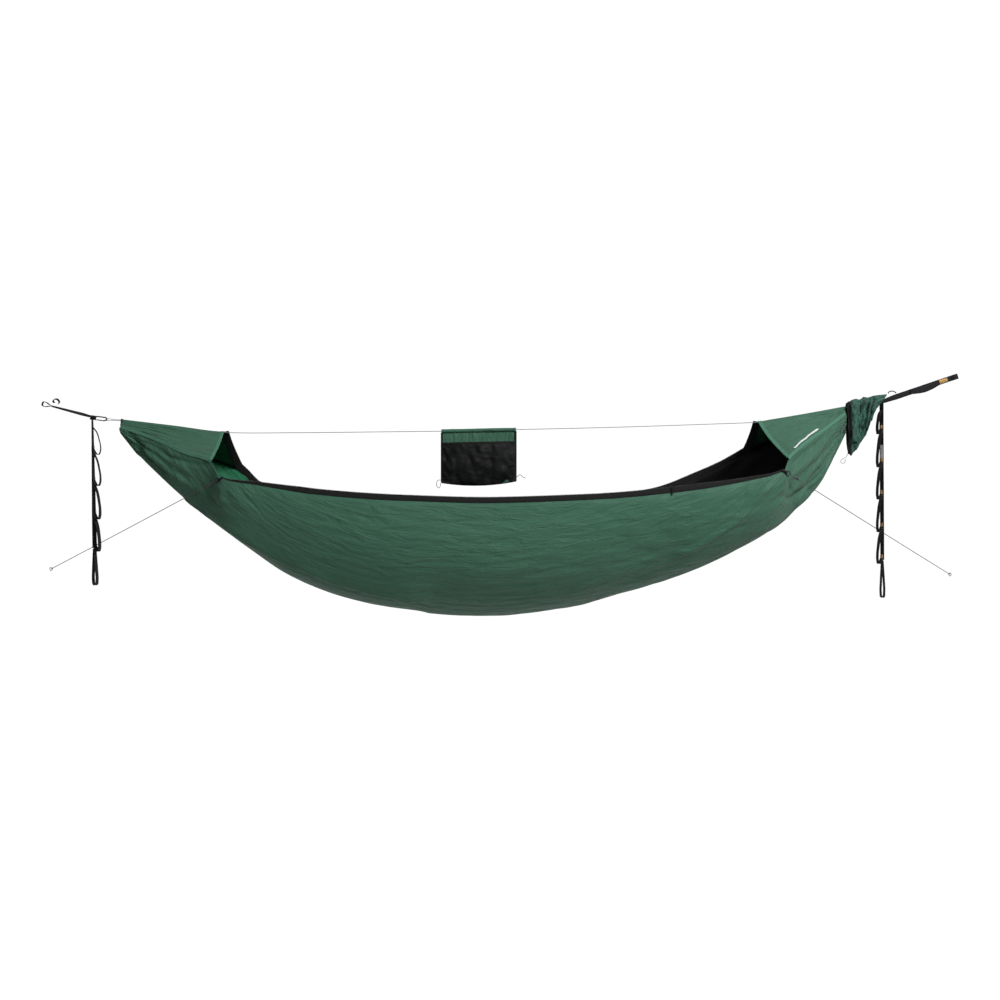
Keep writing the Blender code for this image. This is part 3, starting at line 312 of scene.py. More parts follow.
def addBump(tree, shader, height, strength, distance, under=None):
    # the bump made last shapes the surface, with the one under it
    bump = addNode(tree, "ShaderNodeBump", {"Height": height, "Strength": strength, "Distance": distance})
    if under:
        tree.links.new(under.outputs[0], bump.inputs["Normal"])
    tree.links.new(bump.outputs[0], shader.inputs["Normal"])
    return bump


def mixedColour(tree, shader, factor, first, second):
    mix = addNode(tree, "ShaderNodeMix", {0: factor, 6: (*first, 1), 7: (*second, 1)}, data_type="RGBA")
    tree.links.new(mix.outputs[2], shader.inputs["Base Color"])
    return mix


def threadLines(tree, uv, spacing, line):
    # 1 on the lines of a square grid of the map, 0 between them
    parts = addNode(tree, "ShaderNodeSeparateXYZ", {0: uv})
    found = []
    for axis in ("X", "Y"):
        near = maths(tree, "PINGPONG", parts.outputs[axis], spacing / 2)
        found.append(addNode(tree, "ShaderNodeMapRange", {"Value": near, "From Min": 0.0, "From Max": line,
                                                          "To Min": 1.0, "To Max": 0.0}).outputs[0])
    return maths(tree, "MAXIMUM", found[0], found[1])


def clothMaterial(name, look):
    material, tree, shader = plainMaterial(name, look["colour"], look["roughness"], sheen=look["sheen"])
    uv = clothPlace(tree)
    place = addNode(tree, "ShaderNodeTexCoord").outputs["Object"]
    grid = threadLines(tree, uv, look["gridSize"], look["gridLine"])
    stretched = addNode(tree, "ShaderNodeMapping", {"Vector": uv, "Scale": look["creaseScale"]}).outputs[0]
    creases = addNode(tree, "ShaderNodeTexNoise", {"Vector": stretched, "Scale": 1.0, "Detail": 6.0,
                                                   "Roughness": 0.58, "Distortion": 0.6})
    patches = addNode(tree, "ShaderNodeTexNoise", {"Vector": place, "Scale": 3.0, "Detail": 3.0})
    base = mixedColour(tree, shader, patches.outputs["Fac"], look["colour"], look["faded"])
    lined = mixedColour(tree, shader, maths(tree, "MULTIPLY", grid, look["gridTint"]), look["colour"],
                        look["gridColour"])
    tree.links.new(base.outputs[2], lined.inputs[6])
    wear = addNode(tree, "ShaderNodeMapRange", {"Value": patches.outputs["Fac"], "From Min": 0.3, "From Max": 0.7,
                                                "To Min": look["roughness"] - 0.06, "To Max": look["roughness"] + 0.06})
    tree.links.new(wear.outputs[0], shader.inputs["Roughness"])
    fine = addBump(tree, shader, grid, 0.6, 0.00025)
    addBump(tree, shader, creases.outputs["Fac"], look["creaseStrength"], look["creaseHeight"], fine)
    return material


ripstopLook = {
    "colour": (0.018, 0.060, 0.037), "faded": (0.032, 0.086, 0.056), "roughness": 0.50, "sheen": 0.06,
    "gridSize": 0.005, "gridLine": 0.00035, "gridTint": 0.45, "gridColour": (0.045, 0.120, 0.080),
    "creaseScale": (9.0, 40.0, 1.0), "creaseStrength": 1.0, "creaseHeight": 0.0110,
}
ripstop = clothMaterial("ripstopGreen", ripstopLook)
# the cloth's inner side, painted a deeper, more vivid green: painted light shining through the thin cloth
paintedLightThrough = clothMaterial("paintedLightThroughGreen", {
    **ripstopLook, "colour": (0.004, 0.070, 0.030), "faded": (0.010, 0.100, 0.046), "roughness": 0.58, "sheen": 0.04,
})
sackCloth = clothMaterial("sackGreen", {
    **ripstopLook, "colour": (0.010, 0.040, 0.028), "faded": (0.022, 0.066, 0.048), "creaseScale": (30.0, 30.0, 1.0),
    "creaseHeight": 0.006,
})


def netMaterial(name, colour, foldScale, sheen):
    # fine insect mesh: dark holes between slightly lighter threads
    material, tree, shader = plainMaterial(name, colour, 0.62, sheen=sheen)
    uv = clothPlace(tree)
    grid = threadLines(tree, uv, 0.0016, 0.0005)
    mixedColour(tree, shader, grid, (0.002, 0.002, 0.002), colour)
    stretched = addNode(tree, "ShaderNodeMapping", {"Vector": uv, "Scale": foldScale}).outputs[0]
    folds = addNode(tree, "ShaderNodeTexNoise", {"Vector": stretched, "Scale": 1.0, "Detail": 5.0, "Distortion": 1.1})
    fine = addBump(tree, shader, grid, 0.5, 0.0003)
    addBump(tree, shader, folds.outputs["Fac"], 0.8, 0.008, fine)
    return material


insectNet = netMaterial("insectNet", (0.004, 0.004, 0.005), (14.0, 9.0, 1.0), 0.02)
pocketNet = netMaterial("pocketNet", (0.003, 0.0035, 0.0035), (22.0, 16.0, 1.0), 0.0)


def wovenMaterial(name, colour, paintedCrestHighlight, pitch, slant, roughness):
    # herringbone ribs along a strap or a tape
    material, tree, shader = plainMaterial(name, colour, roughness, sheen=0.02)
    parts = addNode(tree, "ShaderNodeSeparateXYZ", {0: clothPlace(tree)})
    zigzag = maths(tree, "PINGPONG", parts.outputs["Y"], slant)
    ribs = maths(tree, "PINGPONG", maths(tree, "ADD", parts.outputs["X"], zigzag), pitch / 2)
    height = maths(tree, "DIVIDE", ribs, pitch / 2)
    fuzz = addNode(tree, "ShaderNodeTexNoise", {"Vector": addNode(tree, "ShaderNodeTexCoord").outputs["Object"],
                                                "Scale": 700.0, "Detail": 2.0})
    # the crests of the ribs painted lighter than the grooves: painted highlight, varied by random fuzz
    mixedColour(tree, shader, maths(tree, "MULTIPLY", height, fuzz.outputs["Fac"]), colour, paintedCrestHighlight)
    addBump(tree, shader, height, 0.7, 0.00035)
    return material


webbing = wovenMaterial("webbingBlack", (0.003, 0.003, 0.004), (0.015, 0.014, 0.016), 0.0016, 0.0024, 0.66)
zipTape = wovenMaterial("zipTapeBlack", (0.003, 0.003, 0.003), (0.012, 0.012, 0.013), 0.0011, 0.0012, 0.72)
hemTape = wovenMaterial("hemGreen", (0.034, 0.100, 0.068), (0.066, 0.160, 0.112), 0.0012, 0.0014, 0.60)
# a darker copy of the hem tape, for the far side: painted shade
paintedShadeHem = wovenMaterial("hemPaintedShade", (0.012, 0.050, 0.032), (0.030, 0.090, 0.060), 0.0012, 0.0014, 0.64)


def cordMaterial(name, colour, paintedCrestHighlight, pitch):
    # a round braid: strands cross in two directions
    material, tree, shader = plainMaterial(name, colour, 0.58, sheen=0.1)
    parts = addNode(tree, "ShaderNodeSeparateXYZ", {0: clothPlace(tree)})
    along = maths(tree, "DIVIDE", parts.outputs["X"], pitch)
    around = maths(tree, "MULTIPLY", parts.outputs["Y"], 3.0)
    one = maths(tree, "PINGPONG", maths(tree, "ADD", along, around), 0.5)
    other = maths(tree, "PINGPONG", maths(tree, "SUBTRACT", along, around), 0.5)
    height = maths(tree, "MULTIPLY", maths(tree, "MAXIMUM", one, other), 2.0)
    # the strands' crests painted lighter than the grooves between them: painted highlight
    mixedColour(tree, shader, height, colour, paintedCrestHighlight)
    addBump(tree, shader, height, 0.8, 0.0003)
    return material


greyCord = cordMaterial("cordGrey", (0.070, 0.070, 0.074), (0.170, 0.170, 0.175), 0.0022)
guyCord = cordMaterial("cordGuy", (0.020, 0.020, 0.022), (0.060, 0.060, 0.063), 0.0022)
blackCord = cordMaterial("cordBlack", (0.010, 0.010, 0.011), (0.045, 0.045, 0.048), 0.0020)


def speckledMaterial(name, colour, other, roughness, metallic, scale, depth, sheen=0.0):
    # metal, plastic or thread with a fine uneven surface
    material, tree, shader = plainMaterial(name, colour, roughness, metallic, sheen)
    place = addNode(tree, "ShaderNodeTexCoord").outputs["Object"]
    grain = addNode(tree, "ShaderNodeTexNoise", {"Vector": place, "Scale": scale, "Detail": 4.0})
    mixedColour(tree, shader, grain.outputs["Fac"], colour, other)
    wear = addNode(tree, "ShaderNodeMapRange", {"Value": grain.outputs["Fac"], "To Min": roughness - 0.08,
                                                "To Max": roughness + 0.10})
    tree.links.new(wear.outputs[0], shader.inputs["Roughness"])
    addBump(tree, shader, grain.outputs["Fac"], 0.4, depth)
    return material


# name, colour, other colour, roughness, metallic, grain scale, grain depth, sheen
blackMetal, blackPlastic, zipTeeth, goldThread, greenThread, blackThread, paleStrip, paleLabel = (
    speckledMaterial(*look) for look in (
        ("anodisedBlack", (0.016, 0.016, 0.018), (0.040, 0.040, 0.044), 0.34, 1.0, 900.0, 0.00004),
        ("plasticBlack", (0.012, 0.012, 0.013), (0.024, 0.024, 0.026), 0.42, 0.0, 1200.0, 0.00005),
        ("zipTeethBlack", (0.010, 0.010, 0.011), (0.020, 0.020, 0.022), 0.30, 0.0, 1500.0, 0.00003),
        ("tackGold", (0.400, 0.230, 0.070), (0.620, 0.400, 0.150), 0.50, 0.0, 1800.0, 0.00008, 0.2),
        ("threadGreen", (0.022, 0.070, 0.048), (0.050, 0.120, 0.085), 0.55, 0.0, 1800.0, 0.00006),
        ("threadBlack", (0.008, 0.008, 0.009), (0.022, 0.022, 0.024), 0.60, 0.0, 1800.0, 0.00006),
        ("reflectiveGrey", (0.330, 0.350, 0.350), (0.480, 0.500, 0.500), 0.38, 0.0, 260.0, 0.00010),
        ("labelGrey", (0.360, 0.355, 0.350), (0.470, 0.465, 0.460), 0.66, 0.0, 700.0, 0.00010),
    )
)
print("finishes made:", len(bpy.data.materials))


# Stitches, zip teeth and tack threads: one small shape repeated along lines

def repeatTree(name):
    tree = bpy.data.node_groups.new(name, "GeometryNodeTree")
    tree.interface.new_socket("Geometry", in_out="INPUT", socket_type="NodeSocketGeometry")
    for label in ("Spacing", "Length", "Width", "Height"):
        tree.interface.new_socket(label, in_out="INPUT", socket_type="NodeSocketFloat")
    tree.interface.new_socket("Material", in_out="INPUT", socket_type="NodeSocketMaterial")
    tree.interface.new_socket("Geometry", in_out="OUTPUT", socket_type="NodeSocketGeometry")
    source = tree.nodes.new("NodeGroupInput")
    line = addNode(tree, "GeometryNodeMeshToCurve", {"Mesh": source.outputs["Geometry"]})
    even = addNode(tree, "GeometryNodeResampleCurve", {"Curve": line.outputs[0], "Length": source.outputs["Spacing"]},
                   mode="LENGTH")
    across = addNode(tree, "GeometryNodeInputNamedAttribute", {"Name": "across"}, data_type="FLOAT_VECTOR")
    turn = addNode(tree, "FunctionNodeAxesToRotation", primary_axis="X", secondary_axis="Y")
    tree.links.new(tree.nodes.new("GeometryNodeInputTangent").outputs[0], turn.inputs[0])
    tree.links.new(across.outputs[0], turn.inputs[1])
    size = addNode(tree, "ShaderNodeCombineXYZ", {"X": source.outputs["Length"], "Y": source.outputs["Width"],
                                                  "Z": source.outputs["Height"]})
    bead = addNode(tree, "GeometryNodeMeshIcoSphere", {"Radius": 0.5, "Subdivisions": 1})
    placed = addNode(tree, "GeometryNodeInstanceOnPoints", {"Points": even.outputs[0], "Instance": bead.outputs[0],
                                                            "Rotation": turn.outputs[0], "Scale": size.outputs[0]})
    real = addNode(tree, "GeometryNodeRealizeInstances", {0: placed.outputs[0]})
    finish = addNode(tree, "GeometryNodeSetMaterial", {"Geometry": real.outputs[0],
                                                       "Material": source.outputs["Material"]})
    tree.links.new(finish.outputs[0], tree.nodes.new("NodeGroupOutput").inputs[0])
    return tree


beadsAlongLines = repeatTree("beadsAlongLines")


def addBeads(name, lines, across, material, body, size):
    points, edges, ways = [], [], []
    for line, way in zip(lines, across):
        start = len(points)
        points += np.asarray(line).tolist()
        ways += np.broadcast_to(np.array(way, float), np.shape(line)).tolist()
        edges += [(start + i, start + i + 1) for i in range(len(line) - 1)]
    mesh = bpy.data.meshes.new(name)
    mesh.from_pydata(points, edges, [])
    mesh.attributes.new("across", "FLOAT_VECTOR", "POINT").data.foreach_set("vector", np.ravel(ways))
    piece = bpy.data.objects.new(name, mesh)
    bpy.context.collection.objects.link(piece)
    beads = piece.modifiers.new("beads", "NODES")
    beads.node_group = beadsAlongLines
    for item in beadsAlongLines.interface.items_tree:
        if item.in_out == "INPUT" and item.name != "Geometry":
            beads[item.identifier] = material if item.name == "Material" else size[item.name.lower()]
    settled(piece)
    piece.data.shade_smooth()
    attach(piece, body)
    return piece


stitchSize = {"spacing": 0.0042, "length": 0.0032, "width": 0.0007, "height": 0.0006}
toothSize = {"spacing": 0.0020, "length": 0.0012, "width": 0.0044, "height": 0.0021}
threadSize = {"spacing": 0.0009, "length": 0.0008, "width": 0.0200, "height": 0.0011}


# The bed's shape: three rails, each row a share of the length, of the half width and of the depth

hammock = {
    "leftEnd": (-1.328, -0.112), "rightEnd": (1.2085, -0.060),      # x and z of the gathered ends
    "depth": 0.70, "halfWidth": 0.305, "fullness": 0.8,
    "leftCorner": (0.136, 0.151), "rightCorner": (0.910, 0.876),    # near and far corners of the hoods
    "tieouts": (0.153, 0.901),
}
nearRail = (
    (0.000, 0.040, 0.026), (0.044, 0.165, 0.083), (0.097, 0.390, 0.167), (0.136, 0.560, 0.215),
    (0.153, 0.720, 0.298), (0.205, 0.820, 0.338), (0.287, 0.918, 0.390), (0.405, 0.984, 0.427),
    (0.524, 1.000, 0.445), (0.642, 0.984, 0.439), (0.760, 0.925, 0.411), (0.856, 0.803, 0.361),
    (0.901, 0.720, 0.316), (0.910, 0.590, 0.259), (0.927, 0.490, 0.206), (0.959, 0.280, 0.131),
    (0.993, 0.060, 0.051), (1.000, 0.040, 0.029),
)
farRail = (
    (0.000, 0.040, 0.026), (0.044, 0.165, 0.083), (0.097, 0.390, 0.167), (0.151, 0.565, 0.240),
    (0.177, 0.720, 0.335), (0.236, 0.860, 0.396), (0.379, 0.957, 0.442), (0.524, 0.990, 0.459),
    (0.668, 0.957, 0.448), (0.743, 0.925, 0.415), (0.811, 0.860, 0.329), (0.844, 0.770, 0.277),
    (0.876, 0.575, 0.211), (0.910, 0.460, 0.158), (0.959, 0.265, 0.112), (0.993, 0.060, 0.051),
    (1.000, 0.040, 0.029),
)
bottomRail = (
    (0.000, 0.052), (0.010, 0.096), (0.027, 0.172), (0.068, 0.325), (0.110, 0.464), (0.165, 0.627),
    (0.234, 0.802), (0.317, 0.914), (0.399, 0.970), (0.504, 1.000), (0.606, 0.977), (0.689, 0.910),
    (0.772, 0.817), (0.855, 0.673), (0.910, 0.543), (0.954, 0.406), (0.976, 0.288), (0.987, 0.223),
    (1.000, 0.126),
)
leftX, leftZ = hammock["leftEnd"]
rightX, rightZ = hammock["rightEnd"]
ridgeSpan = rightX - leftX


def edgePoint(rail, share, side):
    share = np.asarray(share, float)
    places, widths, depths = zip(*rail)
    out = eased(share, places, widths) * hammock["halfWidth"]
    down = eased(share, places, depths) * hammock["depth"]
    line = leftZ + (rightZ - leftZ) * share
    return np.stack([leftX + share * ridgeSpan, side * out, line - down], axis=-1)


def nearEdge(share):
    return edgePoint(nearRail, share, -1)


def farEdge(share):
    return edgePoint(farRail, share, 1)


def lowLine(shares):
    # height of the bed's lowest line
    places, depths = zip(*bottomRail)
    return leftZ + (rightZ - leftZ) * shares - hammock["depth"] * eased(shares, places, depths)


def softened(edge, shares):
    # the same edge with its corners rounded off, for the cloth lower down
    reach = 0.045
    steps = np.linspace(-reach, reach, 19)
    weights = np.exp(-(steps / 0.022) ** 2)
    room = np.minimum(np.minimum(shares, 1 - shares), reach)[:, None] / reach
    points = edge(shares[:, None] + steps * room)
    return (points * weights[:, None]).sum(1) / weights.sum()


def bedSurface(shares, angles):
    # angle 0 is the near edge, pi the far edge; rows follow the shares
    near, far = nearEdge(shares)[:, None], farEdge(shares)[:, None]
    lower = np.clip(np.sin(angles) / 0.55, 0, 1)
    lower = (lower * lower * (3 - 2 * lower))[None, :, None]
    near = near + (softened(nearEdge, shares)[:, None] - near) * lower
    far = far + (softened(farEdge, shares)[:, None] - far) * lower
    part = ((1 - np.cos(angles)) / 2)[None, :, None]
    points = near + (far - near) * part
    depth = (near[..., 2] + far[..., 2]) / 2 - lowLine(shares)[:, None]
    points[..., 2] -= depth * np.maximum(np.sin(angles), 0)[None, :] ** hammock["fullness"]
    return points


def frontView(points):
    # where a point shows on the plane through the ridgeline
    eye = np.array(cameraSetup["place"])
    scale = -eye[1] / (points[..., 1] - eye[1])
    return points[..., 0] * scale, eye[2] + (points[..., 2] - eye[2]) * scale


def creaseHeight(points, line, profile):
    # height of a crease that follows a line of the front view; profile is of the distance above it
    x, z = frontView(points)
    line = evenly(line, 60)
    steps, along = np.linalg.norm(np.diff(line, axis=0), axis=1), distances(line)
    flat = np.stack([x, z], axis=-1)
    best = np.full(x.shape, np.inf)
    offset, place = np.zeros(x.shape), np.zeros(x.shape)
    for i in range(len(line) - 1):
        way = line[i + 1] - line[i]
        t = ((flat - line[i]) @ way) / way.dot(way)
        inside = np.clip(t, 0, 1)
        gap = flat - line[i] - inside[..., None] * way
        far = np.hypot(gap[..., 0], gap[..., 1])
        closer = far < best
        best = np.where(closer, far, best)
        above = np.sign(gap[..., 1] * way[0] - gap[..., 0] * way[1])
        offset = np.where(closer, far * above, offset)
        place = np.where(closer, along[i] + inside * steps[i], place)
    fade = 0.08                            # metres over which it dies out at each end
    ends = np.minimum(place, along[-1] - place) / fade
    return profile(offset) * np.clip(ends, 0, 1) ** 0.7


def ridgeProfile(height, width):
    return lambda d: height * np.exp(-(d / width) ** 2)


def foldProfile(height, width):
    # cloth that bulges above the line and turns under just below it
    return lambda d: height * (np.tanh(d / (0.35 * width)) + 0.1) / 1.1 * np.exp(-np.abs(d) / (3 * width))


bedCreases = (
    # line in the front view, profile; metres
    (((-1.253, -0.206), (-1.152, -0.287), (-1.0885, -0.385), (-0.945, -0.490), (-0.875, -0.534),
      (-0.788, -0.586), (-0.700, -0.621), (-0.595, -0.665), (-0.420, -0.714), (-0.245, -0.7455)),
     foldProfile(0.0260, 0.016)),
    (((0.985, -0.290), (0.932, -0.349), (0.883, -0.408), (0.809, -0.472), (0.711, -0.531), (0.600, -0.593)),
     ridgeProfile(0.0095, 0.009)),
    (((1.170, -0.130), (1.085, -0.205), (1.035, -0.245), (0.985, -0.275)), ridgeProfile(-0.011, 0.009)),
    (((1.150, -0.160), (1.090, -0.235), (1.020, -0.300), (0.985, -0.310)), ridgeProfile(0.010, 0.010)),
    (((1.120, -0.270), (1.075, -0.345), (1.010, -0.380), (0.975, -0.372)), ridgeProfile(-0.014, 0.011)),
    (((1.160, -0.235), (1.110, -0.320), (1.040, -0.420), (0.940, -0.500)), ridgeProfile(0.010, 0.013)),
    (((-1.300, -0.135), (-1.240, -0.230), (-1.180, -0.300)), ridgeProfile(-0.015, 0.010)),
    (((-1.230, -0.180), (-1.150, -0.235), (-1.060, -0.260), (-0.990, -0.262)), ridgeProfile(-0.008, 0.008)),
    (((-1.210, -0.215), (-1.140, -0.280), (-1.080, -0.310)), ridgeProfile(-0.009, 0.009)),
    (((-0.985, -0.310), (-1.030, -0.345), (-1.070, -0.390)), ridgeProfile(0.009, 0.012)),
    (((-0.965, -0.325), (-0.975, -0.375), (-0.955, -0.430)), ridgeProfile(0.005, 0.012)),
    (((-0.955, -0.325), (-0.915, -0.385), (-0.850, -0.440)), ridgeProfile(0.005, 0.016)),
    (((-0.945, -0.320), (-0.880, -0.360), (-0.790, -0.390)), ridgeProfile(0.004, 0.012)),
    (((0.020, -0.650), (0.120, -0.600), (0.210, -0.545), (0.330, -0.500)), ridgeProfile(0.004, 0.010)),
    (((0.250, -0.700), (0.400, -0.650), (0.520, -0.590), (0.600, -0.560)), ridgeProfile(0.004, 0.010)),
    (((0.300, -0.720), (0.470, -0.660), (0.620, -0.600), (0.760, -0.540)), ridgeProfile(-0.003, 0.010)),
    (((-0.620, -0.500), (-0.540, -0.455), (-0.480, -0.440)), ridgeProfile(0.002, 0.008)),
)


def bedHeights(points, shares, angles):
    # how far each point stands out from the smooth bed
    x = points[..., 0]
    ends = np.minimum(shares, 1 - shares)[:, None] * ridgeSpan
    width = np.linalg.norm(farEdge(shares) - nearEdge(shares), axis=1)[:, None]
    sway = 0.25 * softNoise(shares[:, None] * 14, angles[None, :] * 1.5, 11)
    across = angles[None, :] + sway * 0.5
    pleats = (np.sin(across * 17 + 0.4) + 0.8 * np.sin(across * 29 + 2.1) + 0.5 * np.sin(across * 43 + 4.0)) / 2.3
    deep = np.minimum(0.0085, 0.13 * width) * np.exp(-(ends / 0.24) ** 1.2)
    height = pleats * deep
    v = angles[None, :] * 0.42
    fine = softNoise(x * 7 + 3 * softNoise(x * 3, v * 6, 4), v * 58, 1)
    fine = fine + 0.6 * softNoise(x * 13, v * 105 + x * 9, 2)
    slanted = softNoise(x * 10 + v * 14, v * 40 - x * 16, 3)
    middle = np.exp(-((x - 0.02) / 0.50) ** 2)
    right = np.exp(-((x - 0.62) / 0.30) ** 2)
    height = height + 0.0015 * fine * (0.4 + middle) + 0.0016 * slanted * (0.3 + right)
    height = height + 0.0060 * softNoise(x * 2.6, v * 5, 8)
    near = np.clip((1.75 - angles) / 0.25, 0, 1)[None, :]
    for line, profile in bedCreases:
        height = height + near * creaseHeight(points, line, profile)
    rim = np.clip(np.minimum(angles, math.pi - angles) / 0.10, 0, 1)[None, :]
    return np.clip(height, -0.024, 0.022) * (0.15 + 0.85 * rim)


bedGrid = {"rows": 380, "columns": 126, "cloth": 0.0009}


def bedShape(shares, angles):
    points = bedSurface(shares, angles)
    normals = -sheetNormals(points)
    points = points + normals * bedHeights(points, shares, angles)[..., None]
    first, last = hammock["tieouts"]
    rise = np.clip(np.minimum(shares - first, last - shares) / 0.02, 0, 1)
    points[:, 0, 2] += 0.0045 * rise                   # the near edge reaches up to its zip tape
    return points


def addBed():
    t = np.linspace(0, 1, bedGrid["rows"])
    shares = t - 0.085 * np.sin(2 * math.pi * t)         # closer rows at the two gathered ends
    angles = np.linspace(0, math.pi, bedGrid["columns"])
    # the inner side takes the painted light shining through the cloth
    cloth = addCloth("bed_cloth", bedShape(shares, angles), [ripstop, paintedLightThrough], "hammock", bedGrid["cloth"])
    standsFor("bed")
    return cloth


bed = addBed()
print("bed made:", len(bed.data.polygons), "faces")


# Hoods: two sloping panels each, pleated from the gathered end

ridgelineRoute = (
    (-1.316, 0.0, -0.1065), (-1.140, 0.0, -0.1275), (-0.966, 0.0, -0.1485), (-0.905, 0.0, -0.1500),
    (-0.735, 0.0, -0.1495), (-0.420, 0.0, -0.1465), (-0.205, 0.0, -0.1440), (0.056, 0.0, -0.1385),
    (0.420, 0.0, -0.1298), (0.730, 0.0, -0.1195), (0.860, 0.0, -0.1148), (0.905, 0.0, -0.1125),
    (0.950, 0.0, -0.1055), (1.060, 0.0, -0.0870), (1.2105, 0.0, -0.0595),
)
hoodLook = {"sag": 0.10, "gap": 0.0035, "rows": 90, "columns": 97, "cloth": 0.0009, "pleats": 0.0052}
hoods = {
    "left": {"end": 0, "corners": hammock["leftCorner"], "top": (leftX, 0, leftZ - 0.0010),
             "peak": (leftX + 0.362, 0, leftZ + (rightZ - leftZ) * 0.362 / ridgeSpan - 0.0484)},
    "right": {"end": 1, "corners": hammock["rightCorner"], "top": (rightX, 0, rightZ - 0.0085),
              "peak": (rightX - 0.3055, 0, rightZ - (rightZ - leftZ) * 0.3055 / ridgeSpan - 0.0517)},
}


def hoodRidge(hood, parts):
    top, peak = np.array(hood["top"]), np.array(hood["peak"])
    return top + (peak - top) * parts[:, None]


def hoodSurface(hood, parts, columns):
    end, (near, far) = hood["end"], hood["corners"]
    feet = (nearEdge(end + (near - end) * parts), farEdge(end + (far - end) * parts))
    ridge = hoodRidge(hood, parts)
    rows = np.zeros((len(parts), len(columns), 3))
    for j, column in enumerate(columns):
        foot = feet[0] if column < 0.5 else feet[1]
        t = 1 - abs(2 * column - 1)
        slope = ridge - foot
        foot = foot + unit(slope) * hoodLook["gap"]
        rows[:, j] = foot + (ridge - foot) * t
        rows[:, j, 2] -= hoodLook["sag"] * np.linalg.norm(slope, axis=1) * t * (1 - t)
    return rows


def hoodShape(hood, parts, columns, lift=0.0):
    rows = hoodSurface(hood, parts, columns)
    normals = sheetNormals(rows)
    normals *= np.where((normals[..., 2] < 0), -1, 1)[..., None]
    slope = np.linalg.norm(rows[:, -1] - rows[:, len(columns) // 2], axis=1)
    seed = 21 + hood["end"]
    c, p = columns[None, :], parts[:, None]
    sway = 0.03 * softNoise(p * 5, c * 4, seed)
    folds = np.sin((c + sway) * 61) + 0.7 * np.sin((c + sway) * 97 + 1.3) + 0.5 * np.sin((c + sway) * 151 + 4)
    deep = np.minimum(hoodLook["pleats"], 0.07 * slope)[:, None] * (1 - 0.55 * p)
    height = folds / 2.2 * deep * (0.55 + 0.45 * softNoise(p * 3, c * 9, seed + 5))
    height += 0.0016 * softNoise(p * 12, c * 18, seed + 9)
    t = 1 - np.abs(2 * c - 1)
    calm = np.clip(np.minimum(t, 1 - t) / 0.08, 0, 1) * np.clip((1 - p) / 0.04, 0.25, 1)
    rows = rows + normals * (height * calm + lift)[..., None]
    route = np.array(ridgelineRoute)
    ridge = hoodRidge(hood, parts)
    over = np.maximum(eased(ridge[:, 0], route[:, 0], route[:, 2]) + 0.0026 - ridge[:, 2], 0)
    rows[..., 2] += over[:, None] * np.exp(-((c - 0.5) / 0.09) ** 2)      # draped over the ridgeline
    return rows


def addHood(side):
    hood = hoods[side]
    grid = hoodShape(hood, np.linspace(0, 1, hoodLook["rows"]), np.linspace(0, 1, hoodLook["columns"]))
    if side == "left":
        grid = grid[:, ::-1]           # so the inner-side material, painted light shining through the cloth, is inside
    piece = addCloth(side + "_hood_cloth", grid, [ripstop, paintedLightThrough], "hammock", hoodLook["cloth"])
    standsFor(side + "_hood")
    return piece


hoodPieces = {side: addHood(side) for side in hoods}
print("hoods made")

# Hems on the hoods' openings and tapes over the seams between hood and bed

seamLook = {"hemWidth": 0.013, "seamWidth": 0.011, "thick": 0.0012}


def hoodEdgePath(hood, near):
    # the middle of a hem, from the foot of its panel to the peak, and the way across it
    columns = np.linspace(0.0, 0.5, 60) if near else np.linspace(1.0, 0.5, 60)[::-1]
    rows = hoodShape(hood, np.array([0.955, 0.985]), columns, lift=0.0011)
    across = unit(rows[1] - rows[0])
    return (rows[1], across) if near else (rows[1][::-1], across[::-1])


def addSeams(side):
    hood = hoods[side]
    made = []
    lines, ways = [], []
    for near in (True, False):
        path, across = hoodEdgePath(hood, near)
        # the far side's hem and seam take the darker copy of the tape: painted shade
        material = hemTape if near else paintedShadeHem
        made.append(addRibbon(f"{side}_hem_{near}", path, across, seamLook["hemWidth"], seamLook["thick"],
                              material, None))
        _, sideways, up = pathDirections(path, across)
        up = up * np.sign(up[:, 2:3] + 1e-9)
        for offset in (-0.0042, 0.0042):
            lines.append(path + sideways * offset + up * 0.0008)
            ways.append(sideways)
        corner = hood["corners"][0 if near else 1]
        shares = hood["end"] + (corner - hood["end"]) * np.linspace(0.015, 1.0, 80)
        edge = nearEdge(shares) if near else farEdge(shares)
        out = np.array([0, -1.0 if near else 1.0, 0.35])
        out /= np.linalg.norm(out)
        path = edge + out * 0.0016 + np.array([0, 0, 0.0012])
        across = np.array([0, 0.33 if near else -0.33, 0.94])
        made.append(addRibbon(f"{side}_seam_{near}", path, across, seamLook["seamWidth"], seamLook["thick"],
                              material, None))
        sideways = pathDirections(path, across)[1]
        for offset in (-0.0035, 0.0035):
            lines.append(path + sideways * offset + out * 0.0008)
            ways.append(sideways)
        made.append(addRibbon(f"{side}_binding_{near}", path - out * 0.0034, across, 0.012, seamLook["thick"],
                              zipTape, None))
    tape = joined(side + "_hood_seams", made, "hammock")
    return [tape, addBeads(side + "_hood_stitches", lines, ways, greenThread, "hammock", stitchSize)]


seamPieces = {side: addSeams(side) for side in hoods}


# The opening's zip tapes

tapeLook = {"width": 0.017, "endWidth": 0.003, "thick": 0.0016, "gap": 0.0043, "narrow": 0.0026,
            "narrowUntil": 0.166, "grows": 0.026, "rows": 260}


def nearTapeWidths(shares, first, last):
    # narrow at both ends, and for longer at the left one
    grown = np.clip(np.minimum(shares - first, last - shares) / (last - first) / 0.14, 0, 1)
    left = np.clip((shares - tapeLook["narrowUntil"]) / tapeLook["grows"], 0, 1)
    return np.minimum(tapeLook["endWidth"] + (tapeLook["width"] - tapeLook["endWidth"]) * grown,
                      tapeLook["narrow"] + (tapeLook["width"] - tapeLook["narrow"]) * left)


